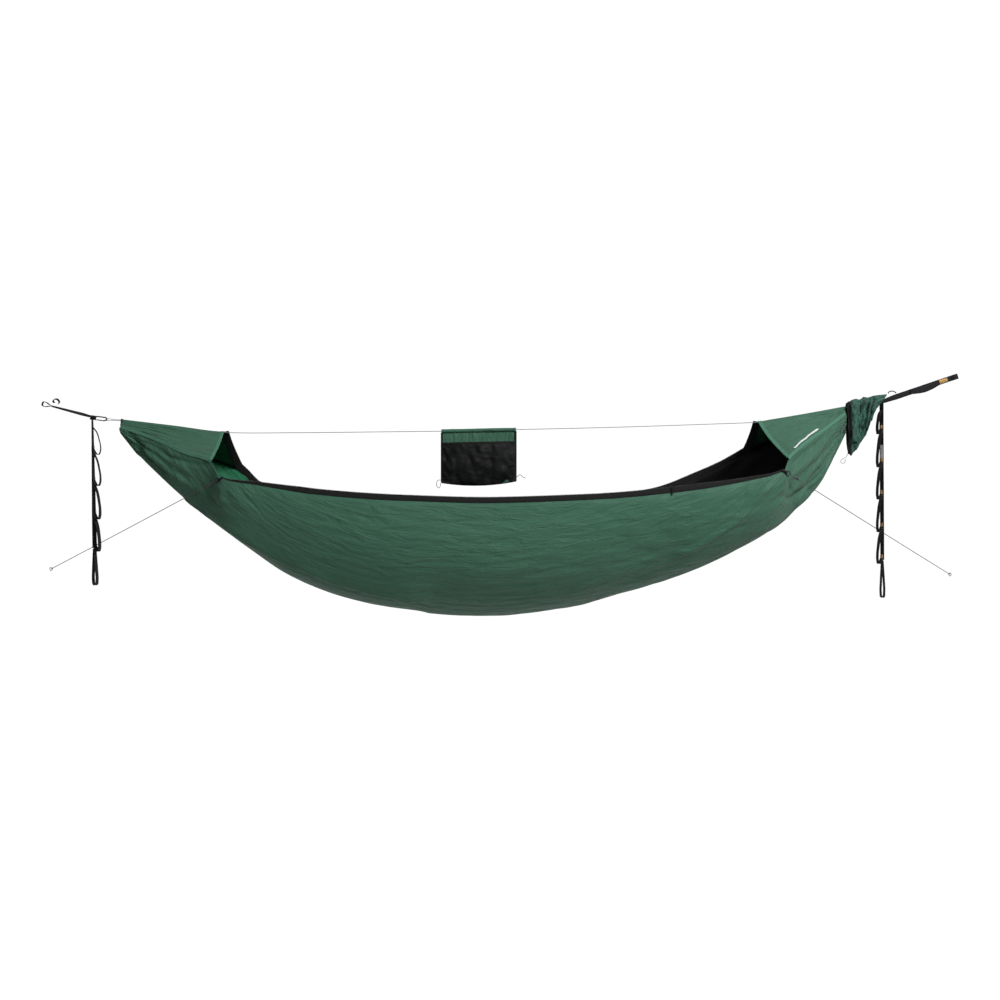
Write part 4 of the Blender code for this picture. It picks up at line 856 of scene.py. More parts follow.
def addTape(name, edge, across, widths, inner, node, overlap):
    # the tape stands up from the edge; overlap is how far it covers the cloth
    across = unit(np.array(across, float))
    full = widths + tapeLook["gap"] + overlap
    middle = edge + across * (widths + tapeLook["gap"] - overlap)[:, None] / 2 + inner
    tape = addRibbon(name, middle, across, full, tapeLook["thick"], zipTape, "hammock")
    standsFor(node)
    _, sideways, up = pathDirections(middle, across)
    top = middle + sideways * (full / 2)[:, None]
    addBeads(name + "_teeth", [top], [sideways], zipTeeth, "hammock", toothSize)
    lines = []
    for offset in (-0.36, -0.24):
        for turn in (-1, 1):
            lines.append(middle + sideways * (full * offset)[:, None] + up * turn * 0.0010)
    addBeads(name + "_stitches", lines, [sideways] * 4, blackThread, "hammock", stitchSize)


def addTapes():
    first, last = hammock["tieouts"][0] + 0.004, hammock["tieouts"][1] - 0.004
    shares = np.linspace(first, last, tapeLook["rows"])
    addTape("near_tape_band", nearEdge(shares), np.broadcast_to([0.0, 0.0, 1.0], (tapeLook["rows"], 3)),
            nearTapeWidths(shares, first, last), np.array([0, -0.0012, 0]), "near_zip_tape", -0.0022)
    rows = []
    for side, hand in (("left", 1), ("right", -1)):
        hood = hoods[side]
        foot, peak = farEdge(hood["corners"][1]), np.array(hood["peak"])
        t = np.linspace(0.0, 0.95, 30)[:, None]
        place = peak + (foot - peak) * t + np.array([0, 0, 0.0065]) * np.exp(-(t / 0.18) ** 2)
        place[:, 2] -= 0.10 * np.linalg.norm(foot - peak) * (t * (1 - t))[:, 0]
        away = unit(np.hstack([np.full((30, 1), float(hand)), np.zeros((30, 1)), 0.25 + 0.5 * t]))
        rows.append((place, away, (0.005 + 0.012 * (0.5 + 0.5 * t))[:, 0]))
    shares = np.linspace(hoods["left"]["corners"][1] + 0.010, hoods["right"]["corners"][1] - 0.010, 240)
    part = np.linspace(0, 1, 240)
    lean = 0.8 * np.maximum(0, 1 - part / 0.12) - 0.8 * np.maximum(0, 1 - (1 - part) / 0.12)
    away = unit(np.column_stack([lean, np.zeros(240), np.ones(240)]))
    edge = (farEdge(shares), away, np.full(240, tapeLook["width"]))
    runs = [rows[0], edge, tuple(item[::-1] for item in rows[1])]
    path, across, widths = (np.concatenate([run[k] for run in runs]) for k in range(3))
    both = evenly(np.column_stack([path, across, widths]), 330)
    addTape("far_tape_band", both[:, :3], both[:, 3:6], both[:, 6], np.array([0, -0.0008, 0]),
            "far_zip_tape", 0.0065)


addTapes()
print("seams and zip tapes made")


# Zip sliders and pulls keep their solids, with softened edges

def softenEdges(node, width, material):
    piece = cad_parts[node]
    piece.data.materials.clear()
    piece.data.materials.append(material)
    bevel = piece.modifiers.new("softened", "BEVEL")
    bevel.width = width
    bevel.segments = 2
    bevel.limit_method = "ANGLE"


for sliderNode in ("near_zip_slider", "far_zip_slider", "near_zip_pull", "far_zip_pull"):
    softenEdges(sliderNode, 0.0004, blackMetal)


# The insect net, gathered and stowed inside the right end

netLook = {"rows": 90, "columns": 60, "cloth": 0.0012, "lift": 0.0105, "folds": 0.0042}


def foldedNet(name, surface, inward, seed):
    rows, columns = surface.shape[:2]
    u = np.linspace(0, 1, rows)[:, None]
    v = np.linspace(0, 1, columns)[None, :]
    folds = np.sin((v * 5 + 0.6 * softNoise(u * 4, v * 3, seed)) * math.pi * 2)
    folds = 0.6 * folds + 0.7 * softNoise(u * 9, v * 13, seed + 1) + 0.4 * softNoise(u * 19, v * 24, seed + 2)
    grid = surface + inward * (netLook["lift"] + netLook["folds"] * folds)[..., None]
    net = addCloth(name, grid, insectNet, "hammock", netLook["cloth"])
    return net


def addNet():
    shares = np.linspace(0.700, 0.975, netLook["rows"])
    angles = np.linspace(0.58 * math.pi, 0.999 * math.pi, netLook["columns"])
    surface = bedSurface(shares, angles)
    inward = sheetNormals(surface)
    inward *= np.sign(inward[..., 1:2] * -1)
    net = foldedNet("insect_net_wall", surface, inward, 41)
    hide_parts("insect_net")
    share = np.linspace(0.0, 1.0, 40)
    rows = []
    for part in np.linspace(0.35, 0.97, 70):
        top = 0.26 + 0.20 * (0.97 - part)
        rows.append(hoodSurface(hoods["right"], np.array([part]), 1 - 0.5 * top * share)[0])
    rows = np.array(rows)
    normals = sheetNormals(rows)
    normals *= np.where(normals[..., 2:3] > 0, -1, 1)
    return net, foldedNet("insect_net_hood", rows, normals * 0.55, 47)


nets = addNet()
print("net made")


# The ridgeline and the organizer on it

def addCord(name, points, diameter, material, body, node, count=80):
    path = smoothPath(points, count)
    piece = addTube(name, path, diameter, material, body, sides=10)
    standsFor(node)


addCord("ridgeline_cord", ridgelineRoute, 0.0024, greyCord, "hammock", "ridgeline",
        count=240)

organizer = {
    "left": (-0.205, 0.0, -0.1440), "right": (0.056, 0.0, -0.1385), "height": 0.186, "sag": 0.012,
    "pocket": 0.136, "fullness": 0.018, "sleeve": 0.0125,
}


def organizerGrid(topDrop, height, fullness, rows, columns, seed, folds):
    part = np.linspace(0, 1, columns)[None, :, None]
    level = np.linspace(0, 1, rows)[:, None, None]
    left, right = np.array(organizer["left"]), np.array(organizer["right"])
    top = left + (right - left) * part
    sag = organizer["sag"] * 4 * part * (1 - part)
    down = topDrop + (height + sag) * level
    across = np.sin(math.pi * part) ** 0.6
    belly = across * np.sin(math.pi * (0.25 + 0.75 * level)) ** 0.7
    out = fullness * np.nan_to_num(belly)
    p, q = part[..., 0], level[..., 0]
    calm = np.clip(np.minimum(p, 1 - p) / 0.06, 0, 1) * np.clip(q / 0.1, 0.2, 1)
    creases = softNoise(p * 7 + q * 2, q * 3 + p, seed) + 0.5 * softNoise(p * 15, q * 6 - p * 4, seed + 1)
    out = out[..., 0] + folds * creases * calm
    zero = np.zeros_like(down)
    return top + np.concatenate([zero, -out[..., None], -down], axis=2)


def edgeRibbon(name, path, across, width):
    return addRibbon(name, path, across, width, 0.0016, zipTape, None)


def addOrganizer():
    left, right = np.array(organizer["left"]), np.array(organizer["right"])
    path = left + (right - left) * np.linspace(0, 1, 60)[:, None]
    wobble = 1 + 0.06 * softNoise(np.linspace(0, 14, 60), np.zeros(60), 5)
    turn = np.linspace(0, 2 * math.pi, 24, endpoint=False)
    around = np.stack([0 * turn, np.cos(turn), np.sin(turn)], axis=-1)
    around = path[:, None] + around * (organizer["sleeve"] / 2 * wobble)[:, None, None]
    sleeve = addCloth("organizer_sleeve_cloth", around, ripstop, "sleeve", 0.0009, closed=True)
    standsFor("organizer_sleeve")
    topDrop, bottomRise = 0.0050, 0.006
    grid = organizerGrid(topDrop, organizer["height"] - topDrop - bottomRise, 0.0, 60, 72, 61, 0.0012)
    panel = addCloth("organizer_back_panel", grid, ripstop, "organizer", 0.0009)
    standsFor("organizer_panel")
    pocketTop = organizer["height"] - bottomRise - organizer["pocket"]
    front = organizerGrid(pocketTop, organizer["pocket"], organizer["fullness"], 64, 90, 71, 0.0070)
    front[..., 1] -= 0.0030
    pocket = addCloth("organizer_mesh_pocket", front, pocketNet, "organizer", 0.0010)
    standsFor("organizer_pocket")
    mouth = edgeRibbon("mouth", front[0] + [0, -0.0008, 0], (0, 0, 1), 0.0075)
    bottom = edgeRibbon("bottom", front[-1] + [0, -0.0002, 0.002], (0, 0, 1), 0.0080)
    sides = [edgeRibbon("side", grid[:, k] + [shift, -0.0022, 0], (1, 0, 0), 0.0075)
             for k, shift in ((0, 0.0015), (-1, -0.0015))]
    binding = joined("organizer_binding", [mouth, bottom, *sides], "organizer")
    lines = [front[0] + [0, -0.0018, -0.0018], front[-1] + [0, -0.0012, 0.0040],
             grid[6] + [0, -0.0008, 0], grid[8] + [0, -0.0008, 0]]
    stitches = addBeads("organizer_stitches", lines, [(0, 0, 1)] * 4, blackThread, "organizer", stitchSize)


addOrganizer()
addCord("organizer_left_cord_loop", (
    (-0.2055, -0.0045, -0.3155), (-0.2130, -0.0045, -0.3150), (-0.2180, -0.0045, -0.3170),
    (-0.2215, -0.0045, -0.3270), (-0.2195, -0.0045, -0.3385), (-0.2140, -0.0045, -0.3425),
    (-0.2090, -0.0045, -0.3370), (-0.2085, -0.0045, -0.3260),
), 0.0020, blackCord, "organizer", "organizer_left_cord")
addCord("organizer_right_cord_loop", (
    (0.0575, -0.0045, -0.3060), (0.0640, -0.0045, -0.3000), (0.0690, -0.0045, -0.2965),
    (0.0740, -0.0045, -0.2990), (0.0810, -0.0045, -0.3050), (0.0900, -0.0045, -0.3085),
), 0.0020, blackCord, "organizer", "organizer_right_cord")
print("organizer made")


# Suspension: tree loops, straps, carabiners, end cords and knots

strap = {"width": 0.019, "thick": 0.0022, "bunched": 0.013, "treeLoop": 0.034, "loopHalf": 0.008,
         "seat": 0.004, "gap": 0.0015}
carabiner = {"length": 0.050, "width": 0.026, "bar": 0.0022, "gate": 0.0019}
knotSize = {"cord": 0.0026, "size": 0.0022}
leftAnchor, rightAnchor = np.array((-1.6, 0, -0.048)), np.array((1.6, 0, 0.048))


def addWebbing(name, path, across, body, node, width=strap["width"]):
    piece = addRibbon(name, path, across, width, strap["thick"], webbing, body)
    standsFor(node)


def addTreeLoop(side, anchor, neck, across):
    out = unit(anchor - neck)
    across = unit(np.array(across, float))
    other = np.cross(out, across)
    reach = np.linalg.norm(anchor - neck) + strap["thick"] / 2
    legs = strap["thick"] / 2 + 0.0004
    upper = ((0, legs), (0.30 * reach, legs + 0.001), (0.62 * reach, strap["loopHalf"] - 0.0008),
             (0.84 * reach, strap["loopHalf"]), (0.96 * reach, strap["loopHalf"] - 0.0014),
             (reach, strap["seat"]))
    outline = [*upper, *[(a, -b) for a, b in upper[::-1]]]
    path = smoothPath([neck + out * a + other * b for a, b in outline], 60)
    addWebbing(side + "_tree_loop_webbing", path, across, "tree_loops", side + "_tree_loop")


def addStrap(side, start, bar, along, normal, treeAcross, barAcross):
    turn = ((0.014, 0.0041), (0.0045, 0.0044), (-0.0035, 0.0040), (-0.0064, 0.0022), (-0.0070, 0.0),
            (-0.0064, -0.0022), (-0.0035, -0.0040), (0.0045, -0.0044), (0.014, -0.0048))
    roundBar = [bar + along * a - normal * b for a, b in turn]
    run = [start + (roundBar[0] - start) * k / 8 for k in range(8)]
    path = smoothPath(run + roundBar, 150)
    gone = distances(path)
    runLength = lengthOf(run + [roundBar[0]])
    part = np.clip(gone / runLength, 0, 1)[:, None]
    across = np.array(treeAcross) * (1 - part) + np.array(barAcross) * part
    bunched = np.clip((gone - 0.80 * runLength) / (0.20 * runLength), 0, 1)
    widths = strap["width"] + (strap["bunched"] - strap["width"]) * bunched
    addWebbing(side + "_strap_webbing", path, across, "hammock", side + "_strap", widths)


def addCarabiner(side, middle, along, across):
    half = (carabiner["width"] - 2 * carabiner["bar"]) / 2
    straight = (carabiner["length"] - 2 * carabiner["bar"]) / 2 - half
    turn = np.linspace(-math.pi / 2, math.pi / 2, 24)
    flat = [(straight + half * math.cos(a), half * math.sin(a)) for a in turn]
    flat += [(straight * (1 - k / 6), half) for k in range(1, 12)]
    flat += [(-straight - half * math.sin(a + math.pi / 2), half * math.cos(a + math.pi / 2)) for a in turn]
    path = [middle + along * a + across * b for a, b in flat]
    body = addTube(side + "_carabiner_body", evenly(path, 90), 2 * carabiner["bar"], blackMetal, "hammock", sides=16)
    standsFor(side + "_carabiner")
    start = middle + along * (straight - 0.0010) - across * half
    length = 2 * straight - 0.0020
    steps = np.array([0, 0.0006, 0.0020, 0.004, length / 2, length - 0.004, length - 0.0020, length - 0.0006,
                      length])
    girth = np.array([0.3, 0.7, 1, 1, 0.92, 1, 1, 0.7, 0.3]) * 2 * carabiner["gate"]
    gate = addTube(side + "_gate", start - along * steps[:, None], girth, blackMetal, side + "_gate", sides=14)
    standsFor(side + "_carabiner_gate")


def addKnot(name, middle, along, size, diameter, material, body):
    along = unit(np.array(along, float))
    side = unit(np.cross(along, (0.1, 1.0, 0.2)))
    other = np.cross(along, side)
    t = np.linspace(0, 2 * math.pi, 120)
    flat = np.column_stack([np.sin(t) + 2 * np.sin(2 * t), np.cos(t) - 2 * np.cos(2 * t), -1.1 * np.sin(3 * t)])
    path = np.array(middle) + size * (flat[:, :1] * side + flat[:, 1:2] * other + flat[:, 2:] * along)
    return addTube(name, path, diameter, material, body, sides=10)


def addEndCord(side, knot, bar, across):
    out = unit(bar - knot)
    start = knot + out * 0.0054
    apart, wide, turn = across * 0.0016, across * 0.0038, 0.0042
    way = bar - out * 0.006
    points = [start + apart, start + apart + out * 0.006, way + wide * 0.9, bar + wide,
              bar + (wide + out * turn) * 0.73, bar + out * turn, bar + (out * turn - wide) * 0.73, bar - wide,
              way - wide * 0.9, start - apart + out * 0.006, start - apart]
    addCord(side + "_end_cord_loop", points, 0.0020, greyCord, "hammock",
            side + "_end_cord", count=160)


def addGather(side, share, knot):
    # a few tight turns of cord round the gathered cloth, and the knot on it
    turns, count = 4, 200
    t = np.linspace(0, 1, count)
    shares = share + (0.0032 - 0.0030 * t) * (1 if share < 0.5 else -1)
    angle = t * turns * 2 * math.pi
    near, far = nearEdge(shares), farEdge(shares)
    height = (near[:, 2] - lowLine(shares)) / 2 + 0.0016
    width = (far[:, 1] - near[:, 1]) / 2 + 0.0014
    middle = np.column_stack([near[:, 0], np.zeros(count), near[:, 2] - height + 0.0016])
    path = middle + np.column_stack([np.zeros(count), width * np.cos(angle), height * np.sin(angle)])
    wrap = addTube(side + "_gather_wrap", path, 0.0020, blackCord, "hammock", sides=8)
    knotPiece = addKnot(side + "_knot", knot, (1, 0, 0.1), knotSize["size"], knotSize["cord"], blackCord, "hammock")
    standsFor(side + "_end_knot")


def tackBlock(middle, along, out, length):
    # the line that one block of bar-tack threads follows
    return np.array(middle) + np.array(out) + np.array(along) * np.linspace(-length / 2, length / 2, 8)[:, None]


# Hanging tails: webbing with slack loops sewn along it

tailLook = {"reachUp": 0.0120, "bulge": 0.028, "loopTurn": math.radians(16), "hoopTurn": math.radians(24),
            "hoop": 0.128, "tack": 0.0185}


def tailPlace(top, bottom, height):
    part = (top[2] - np.asarray(height)) / (top[2] - bottom[2])
    return top + (bottom - top) * part[..., None]


def addTail(side, hand, top, bottom, tacks, turns, twist):
    body = side + "_tail"

    def turned(height):
        part = (top[2] - np.asarray(height, float)) / (top[2] - bottom[2])
        angle = np.radians(turns[0] + (turns[1] - turns[0]) * np.minimum(1.0, 1.4 * part))
        zero = np.zeros_like(angle)
        away = np.stack([hand * np.cos(angle), -np.sin(angle), zero], axis=-1)
        faced = angle - math.radians(twist)
        return away, np.stack([hand * np.sin(faced), np.cos(faced), zero], axis=-1)

    last = -tacks[-1]
    heights = np.linspace(top[2] + tailLook["reachUp"], last - 0.006, 160)     # up to the strap it hangs from
    away, across = turned(heights)
    sway = 0.0008 * softNoise(heights * 14, np.zeros(160), 81 if hand > 0 else 83)
    path = tailPlace(top, bottom, heights) + away * sway[:, None]
    addWebbing(body + "_strip", path, across, body, body + "_webbing")
    lay, bulge, loopTurn = strap["thick"] + 0.0004, tailLook["bulge"], tailLook["loopTurn"]
    starts = (top[2] - 0.004, *[-z for z in tacks[:-1]])
    for number, (upper, lower) in enumerate(zip(starts, [-z for z in tacks]), 1):
        drop = upper - lower
        rows = ((0.012, 0.0), (0.30 * drop, 0.42 * bulge), (0.62 * drop, 0.78 * bulge),
                (0.90 * drop, 0.97 * bulge), (drop + 0.008, 0.93 * bulge), (drop + 0.0175, 0.72 * bulge),
                (drop + 0.0170, 0.45 * bulge), (drop + 0.0085, 0.22 * bulge), (drop - 0.001, 0.0))
        points = []
        for down, out in rows:
            points.append(tailPlace(top, bottom, upper - down) + turned(upper - down)[0] * (lay + out))
        loop = smoothPath(points, 70)
        away, across = turned(loop[:, 2])
        share = np.clip(((loop - tailPlace(top, bottom, loop[:, 2])) * away).sum(1) / bulge, 0, 1)[:, None]
        across = across * np.cos(loopTurn * share) - away * np.sin(loopTurn * share)
        addWebbing(f"{body}_slack_loop_{number}", loop, across, body, f"{body}_loop_{number}", strap["width"] * 0.94)
    start = last - 0.008
    away, across = turned(start)
    half = strap["thick"] / 2 + 0.0004
    rows = ((0.0, half), (0.25, 0.00495), (0.60, 0.00935), (0.86, 0.011), (0.97, 0.00792), (1.0, 0.0))
    outline = [*rows, *[(a, -b) for a, b in rows[-2::-1]]]
    points = [tailPlace(top, bottom, start - tailLook["hoop"] * share) + away * out for share, out in outline]
    across = across * math.cos(tailLook["hoopTurn"]) - away * math.sin(tailLook["hoopTurn"])
    addWebbing(body + "_end_hoop", smoothPath(points, 90), across, body, body + "_end_loop")
    lines, ways = [], []
    for tack in tacks:
        away, across = turned(-tack)
        middle = tailPlace(top, bottom, np.asarray(-tack + 0.003))
        for out in (away * (lay + strap["thick"] / 2 + 0.0003), -away * (strap["thick"] / 2 + 0.0003)):
            lines.append(tackBlock(middle, (0, 0, 1), out, tailLook["tack"]))
            ways.append(across)
    thread = goldThread if side == "right" else blackThread
    addBeads(body + "_tacks", lines, ways, thread, body, threadSize)
    return turned


def addHanger(side, share, anchor, knot, along, middle, across, cordAcross):
    # the carabiner with its cord and gather; says where the strap goes
    reach = carabiner["length"] / 2 - carabiner["bar"]
    addCarabiner(side, middle, -along, across)
    addGather(side, share, knot)
    addEndCord(side, knot, middle - along * reach, cordAcross)
    bar = middle + along * reach
    towards = unit(bar - anchor)
    neck = anchor + towards * strap["treeLoop"]
    return bar, towards, neck, neck + towards * strap["gap"]


def addLeftSide():
    # the carabiner lies tilted, its strap edge on
    edgeOn = np.array((0.0, 0.97, 0.24))
    knot = np.array((leftX + 0.006, 0, leftZ + 0.0055))
    along = unit(np.array((-1.0, 0, 0.133)))
    lift = np.cross((0, 1, 0), along)
    lift = lift * np.sign(lift[2])
    across = unit(np.array((0, 1, 0)) * math.cos(math.radians(35)) + lift * math.sin(math.radians(35)))
    normal = np.cross(along, across)
    normal = normal * -np.sign(normal[2])
    middle = knot + (-0.0770, 0, 0.0065)
    bar, _, neck, start = addHanger("left", 0.0, leftAnchor, knot, along, middle, across, normal)
    addTreeLoop("left", leftAnchor, neck, (0, 1, 0))
    addStrap("left", start, bar, along, normal, edgeOn, across)
    rows = ((0.0390, 0.0030), (0.0360, 0.0100), (0.0400, 0.0155), (0.0480, 0.0160), (0.0550, 0.0110),
            (0.0570, 0.0040), (0.0530, -0.0010))
    loop = smoothPath([leftAnchor + (a, 0, b) for a, b in rows], 60)
    addWebbing("left_strap_slack_loop", loop, edgeOn, "hammock", "left_strap_side_loop")
    top = bar + (-0.0050, -0.0040, -0.0185)
    addTail("left", 1, top, top + (0.0125, -0.0050, -0.5820), (0.208, 0.317, 0.434, 0.546), (4, 42), 0)


def addRightSide():
    # the strap faces the near side
    knot = np.array((rightX + 0.0080, 0, rightZ + 0.0015))
    along = unit(np.array((1.0, 0, 0.152)))
    across = np.cross((0, 1, 0), along)
    across = across * np.sign(across[2])
    middle = knot + (0.0850, 0, 0.0125)
    near = np.array((0, -1.0, 0))
    bar, towards, neck, start = addHanger("right", 1.0, rightAnchor, knot, along, middle, across, near)
    out = unit(rightAnchor - neck)
    faceOn = np.array((-out[2], 0, out[0]))
    addTreeLoop("right", rightAnchor, neck, faceOn)
    addStrap("right", start, bar, along, near, faceOn, across)
    slope = unit(start - bar)
    low = np.array((slope[2], 0, -slope[0]))
    rows = ((0.118, 0.0, 0.0028), (0.135, 0.004, 0.0045), (0.165, 0.0085, 0.0060), (0.195, 0.006, 0.0050),
            (0.222, 0.0, 0.0030))
    loop = smoothPath([bar + slope * a + low * b + (0, -c, 0) for a, b, c in rows], 60)
    addWebbing("right_strap_slack_loop", loop, -low, "hammock", "right_strap_side_loop")
    block = tackBlock(start + towards * 0.016, slope, (0, -0.0015, 0), 0.026)
    addBeads("right_strap_tacks", [block], [low], goldThread, "hammock", threadSize)
    top = bar + (0.0085, -0.0130, -0.0160)
    bottom = top + (0.0020, -0.0060, -0.6700)
    turned = addTail("right", -1, top, bottom, (0.1365, 0.252, 0.364, 0.478, 0.588), (48, 44), 14)
    away, across = turned(-0.215)
    label = tailPlace(top, bottom, np.linspace(-0.193, -0.240, 20)) + away * 0.0016
    piece = addRibbon("right_tail_label", label, across, 0.013, 0.0006, paleLabel, "right_tail")


addLeftSide()
addRightSide()
print("suspension made")


# Guy lines

guys = {
    "left": {"share": hammock["tieouts"][0], "end": (-1.6222, 0.180, -0.6355)},
    "right": {"share": hammock["tieouts"][1], "end": (1.6258, 0.180, -0.6554)},
}
guySize = {"cord": 0.0024, "tab": 0.012, "ring": 0.0075, "ringBar": 0.0014, "lock": 0.016, "lockRadius": 0.0042,
           "lockPlace": 0.026}


def addRing(name, middle, first, second, radius, bar, material, body):
    turn = np.linspace(0, 2 * math.pi, 48, endpoint=False)[:, None]
    around = np.linspace(0, 2 * math.pi, 12, endpoint=False)[None, :]
    first, second = np.array(first, float), np.array(second, float)
    third = np.cross(first, second)
    out = np.cos(turn)[..., None] * first + np.sin(turn)[..., None] * second
    points = np.array(middle) + out * (radius + bar * np.cos(around))[..., None] + third * (
        bar * np.sin(around))[..., None]
    faces = [(i * 12 + j, (i + 1) % 48 * 12 + j, (i + 1) % 48 * 12 + (j + 1) % 12, i * 12 + (j + 1) % 12)
             for i in range(48) for j in range(12)]
    uvs = np.dstack(np.broadcast_arrays(turn * radius, around / (2 * math.pi)))
    piece = addPiece(name, points.reshape(-1, 3), faces, uvs.reshape(-1, 2), material, None)
    turnOutwards(piece)
    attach(piece, body)
    return piece


def addGuy(side):
    guy = guys[side]
    end = np.array(guy["end"])
    base = nearEdge(np.array(guy["share"])) + (0, -0.006, 0)
    out = unit(end - base)
    across = np.array((0, 0, 1.0))
    across = unit(across - out * across.dot(out))
    beside = np.cross(out, across)
    ring = base + out * (guySize["tab"] + guySize["ring"])
    rows = ((-0.010, 0.0004), (0, 0.0010), (0.006, 0.0026), (0.0115, 0.0036), (0.0142, 0.0026), (0.0148, 0))
    outline = [*rows, *[(a, -b) for a, b in rows[-2::-1]]]
    tab = addRibbon(side + "_tab_webbing", smoothPath([base + out * a + beside * b for a, b in outline], 60), across,
                    0.0075, 0.0016, webbing, "hammock")
    standsFor(side + "_tieout_tab")
    metal = addRing(side + "_metal_ring", ring, out, across, guySize["ring"], guySize["ringBar"], blackMetal,
                    "hammock")
    standsFor(side + "_tieout_ring")
    start = ring + out * (guySize["ring"] + guySize["ringBar"] - 0.0008)
    finish = end - out * 0.0105
    sag = np.array((0, 0, -0.004))
    points = [start + (finish - start) * t + sag * 4 * t * (1 - t) * 0.2 for t in np.linspace(0, 1, 6)]
    loop = addRing(side + "_guy_loop", end - out * 0.0047, out, across, 0.0055, 0.0012, guyCord, side + "_guy")
    standsFor(side + "_guy_end_loop")
    hitch = addKnot(side + "_guy_hitch", start + out * 0.0008, out, 0.0009, 0.0020, blackCord, side + "_guy")
    knot = addKnot(side + "_guy_end_knot", finish, out, 0.0009, 0.0022, guyCord, side + "_guy")
    addCord(side + "_guy_cord", points, guySize["cord"], guyCord, side + "_guy",
            side + "_guyline", count=150)
    bead = start + out * guySize["lockPlace"]
    steps = np.array([0, 0.05, 0.18, 0.35, 0.5, 0.65, 0.82, 0.95, 1]) * guySize["lock"]
    girth = np.array([0.62, 0.78, 1, 1, 0.88, 1, 1, 0.78, 0.62]) * 2 * guySize["lockRadius"]
    lock = addTube(side + "_lock_bead", bead + out * steps[:, None], girth, blackPlastic, side + "_lock", sides=18)
    standsFor(side + "_guy_lock")


for guySide in guys:
    addGuy(guySide)
print("guy lines made")


# Stuff sack, slack over the right-hand suspension

sack = {
    "mouth": (1.212, 0.0, -0.060), "rows": 110, "columns": 120, "cloth": 0.0009, "folds": 0.0115,
    "rings": ((0.000, 0.0120, 0.006, -0.1600, 0.024), (0.013, 0.0180, 0.017, -0.1630, 0.030),
              (0.032, 0.0240, 0.035, -0.1460, 0.032), (0.050, 0.0280, 0.052, -0.1200, 0.031),
              (0.068, 0.0310, 0.068, -0.0900, 0.029), (0.086, 0.0360, 0.083, -0.0520, 0.026),
              (0.106, 0.0410, 0.098, -0.0180, 0.021), (0.142, 0.0440, 0.106, -0.0040, 0.016)),
}


def sackGrid(first, last, rows, lift):
    at = np.linspace(first, last, rows)
    rings = np.array(sack["rings"])
    places = np.arange(len(rings))
    topX, topZ, lowX, lowZ, depth = (eased(at, places, rings[:, k]) for k in range(5))
    angle = np.linspace(0, 2 * math.pi, sack["columns"], endpoint=False)
    part = ((1 - np.cos(angle)) / 2)[None, :]
    x = topX[:, None] + (lowX - topX)[:, None] * part
    z = topZ[:, None] + (lowZ - topZ)[:, None] * part
    y = -np.sin(angle)[None, :] * depth[:, None] * (1.12 - 0.5 * part)
    grid = np.array(sack["mouth"]) + np.stack([x, y, z], axis=-1)
    out = unit(np.stack([0 * x, y * 2.4, (z - (topZ + lowZ)[:, None] / 2) * 0.6], axis=-1))
    u, v = at[:, None] / 7, np.minimum(angle, 2 * math.pi - angle)[None, :] / math.pi
    side = np.where(angle < math.pi, 0.0, 9.0)[None, :]
    folds = np.sin(22 * (v * 0.7 + 1.1 * u) + 4 * softNoise(u * 4, v * 3 + side, 91))
    folds = 0.5 * folds + 0.9 * softNoise(u * 9 + v * 3, v * 9 + side, 92) + 0.45 * softNoise(
        u * 21, v * 20 + side, 93)
    edge = np.clip(np.minimum(v, 1 - v) / 0.12, 0.35, 1)
    calm = np.clip(at[:, None] / 1.4, 0.30, 1) * np.clip((7 - at[:, None]) / 2, 0.3, 1)
    return grid + out * (sack["folds"] * folds * calm * edge + lift)[..., None]


def addSack():
    grid = sackGrid(0, 7, sack["rows"], 0.0)
    cloth = addCloth("stuff_sack_cloth", grid, sackCloth, "sack", sack["cloth"], closed=True)
    standsFor("stuff_sack")
    band = addCloth("sack_hem_band", sackGrid(0, 0.95, 16, 0.0016), zipTape, "sack", 0.0016, closed=True)
    path = smoothPath([np.array(sack["mouth"]) + p for p in (
        (0.1455, -0.004, 0.0480), (0.1500, -0.004, 0.0540), (0.1580, -0.004, 0.0560),
        (0.1680, -0.004, 0.0540), (0.1740, -0.004, 0.0490))], 40)
    loop = addTube("sack_haul_strip", path, 0.0038, blackCord, "sack")
    standsFor("sack_haul_loop")
    addCord("sack_drawcord_line", (
        (1.2150, -0.0150, -0.2230), (1.2120, -0.0160, -0.2285), (1.2075, -0.0165, -0.2350),
        (1.2020, -0.0165, -0.2385), (1.1935, -0.0165, -0.2430), (1.1895, -0.0165, -0.2500),
        (1.1930, -0.0165, -0.2565), (1.2000, -0.0165, -0.2560), (1.2045, -0.0165, -0.2500),
        (1.2055, -0.0165, -0.2420)), 0.0020, greyCord, "sack",
        "sack_drawcord", count=90)


addSack()
print("sack made")


# A plain reflective strip sewn to the right hood

def addReflectiveStrip():
    hood = hoods["right"]
    parts, columns = np.linspace(0.05, 0.98, 120), np.linspace(0.02, 0.48, 120)
    x, z = frontView(hoodSurface(hood, parts, columns))
    ends = []
    for wantedX, wantedZ in ((1.030, -0.205), (1.113, -0.139)):
        i, j = np.unravel_index(np.argmin(np.hypot(x - wantedX, z - wantedZ)), x.shape)
        ends.append((parts[i], columns[j]))
    rows = []
    for t in np.linspace(0, 1, 40):
        part, column = np.array(ends[0]) * (1 - t) + np.array(ends[1]) * t
        rows.append(hoodShape(hood, np.array([part, part + 0.004]), np.array([column - 0.01, column, column + 0.01]),
                              lift=0.0028)[0])
    rows = np.array(rows)
    strip = addRibbon("right_hood_strip", rows[:, 1], unit(rows[:, 2] - rows[:, 0]), 0.0075, 0.0008, paleStrip,
                      "hammock")
    return strip


reflectiveStrip = addReflectiveStrip()


# Pale floor that curves up behind, and soft light

studio = {"floor": -1.90, "world": 0.30, "key": 276.0, "fill": 7.0, "top": 10.0, "wall": 14.0, "white": 1.02}


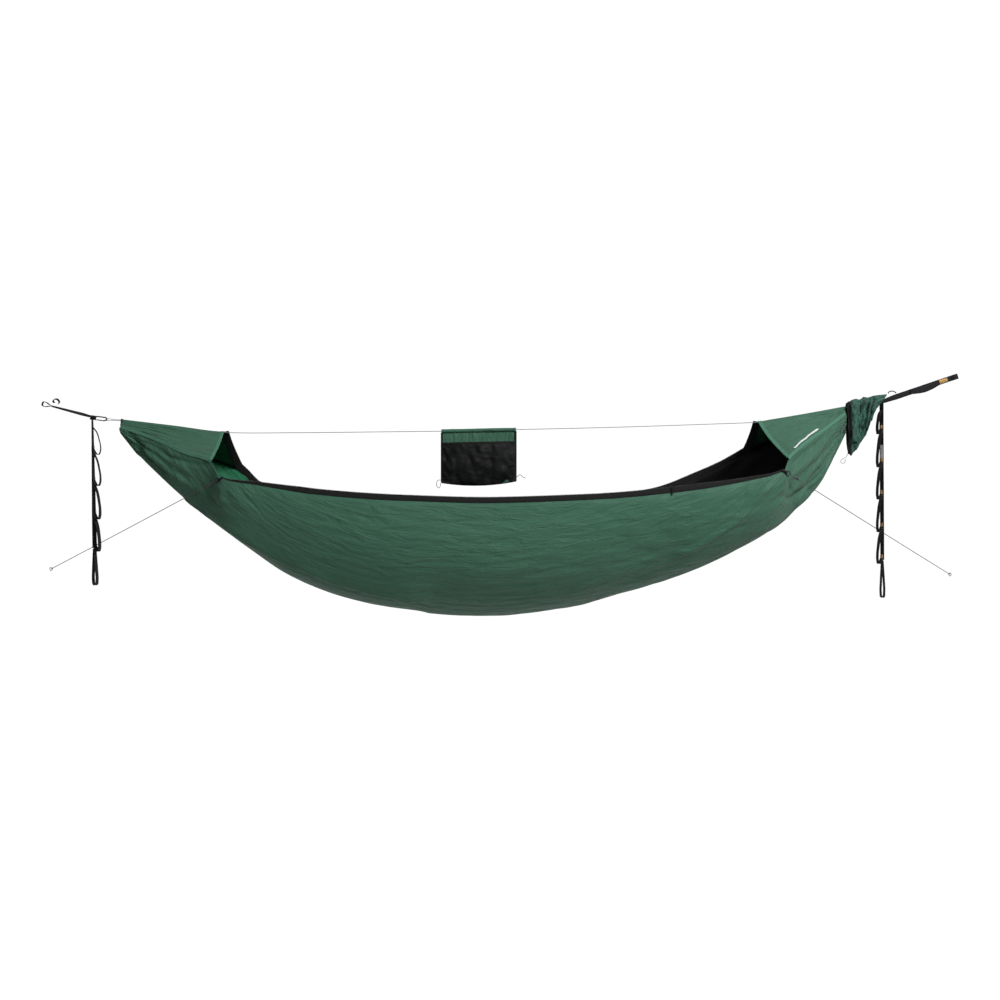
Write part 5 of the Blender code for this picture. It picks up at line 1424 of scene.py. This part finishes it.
def addStudio():
    turn = np.linspace(0, math.pi / 2, 16)
    profile = [(-14.0, studio["floor"]), (4.5, studio["floor"])]
    profile += [(4.5 + 3 * math.sin(a), studio["floor"] + 3 - 3 * math.cos(a)) for a in turn[1:]]
    profile.append((7.5, 9.0))
    points = [(x, y, z) for y, z in profile for x in (-16.0, 16.0)]
    faces = [(2 * i, 2 * i + 1, 2 * i + 3, 2 * i + 2) for i in range(len(profile) - 1)]
    material, tree, shader = plainMaterial("paleFloor", (0.68, 0.68, 0.68), 0.9)
    # the camera sees it evenly white, and the object gets only what it reflects
    seen = addNode(tree, "ShaderNodeLightPath").outputs["Is Camera Ray"]
    white = addNode(tree, "ShaderNodeEmission", {"Strength": studio["white"]})
    either = addNode(tree, "ShaderNodeMixShader", {0: seen, 1: shader.outputs[0], 2: white.outputs[0]})
    output = next(node for node in tree.nodes if node.type == "OUTPUT_MATERIAL")
    tree.links.new(either.outputs[0], output.inputs["Surface"])
    floor = addPiece("studio_floor", points, faces, [(p[0], p[1]) for p in points], material, None)
    world = bpy.data.worlds.new("paleWorld")
    world.use_nodes = True
    background = world.node_tree.nodes["Background"]
    background.inputs["Color"].default_value = (1, 1, 1, 1)
    background.inputs["Strength"].default_value = studio["world"]
    bpy.context.scene.world = world
    for name, place, size, power, target in (
        ("key", (3.4, -4.2, 3.4), 2.4, studio["key"], (0, 0, -0.35)),
        ("fill", (-3.6, -4.6, -0.9), 2.4, studio["fill"], (-0.6, 0, -0.5)),
        ("top", (0.4, 0.6, 3.6), 3.0, studio["top"], (0, 0, -0.35)),
        ("wallLeft", (-4.0, 2.8, 2.6), 3.0, studio["wall"], (-1.5, 7.5, -0.4)),
        ("wallRight", (4.0, 2.8, 2.6), 3.0, studio["wall"], (1.5, 7.5, -0.4)),
    ):
        data = bpy.data.lights.new(name, "AREA")
        data.shape = "DISK"
        data.size = size
        data.energy = power
        data.spread = math.radians(110)
        lamp = bpy.data.objects.new(name, data)
        lamp.location = place
        lamp.rotation_euler = (Vector(target) - Vector(place)).to_track_quat("-Z", "Y").to_euler()
        bpy.context.collection.objects.link(lamp)
    bpy.context.scene.view_settings.view_transform = "Standard"


addStudio()
print("studio made")
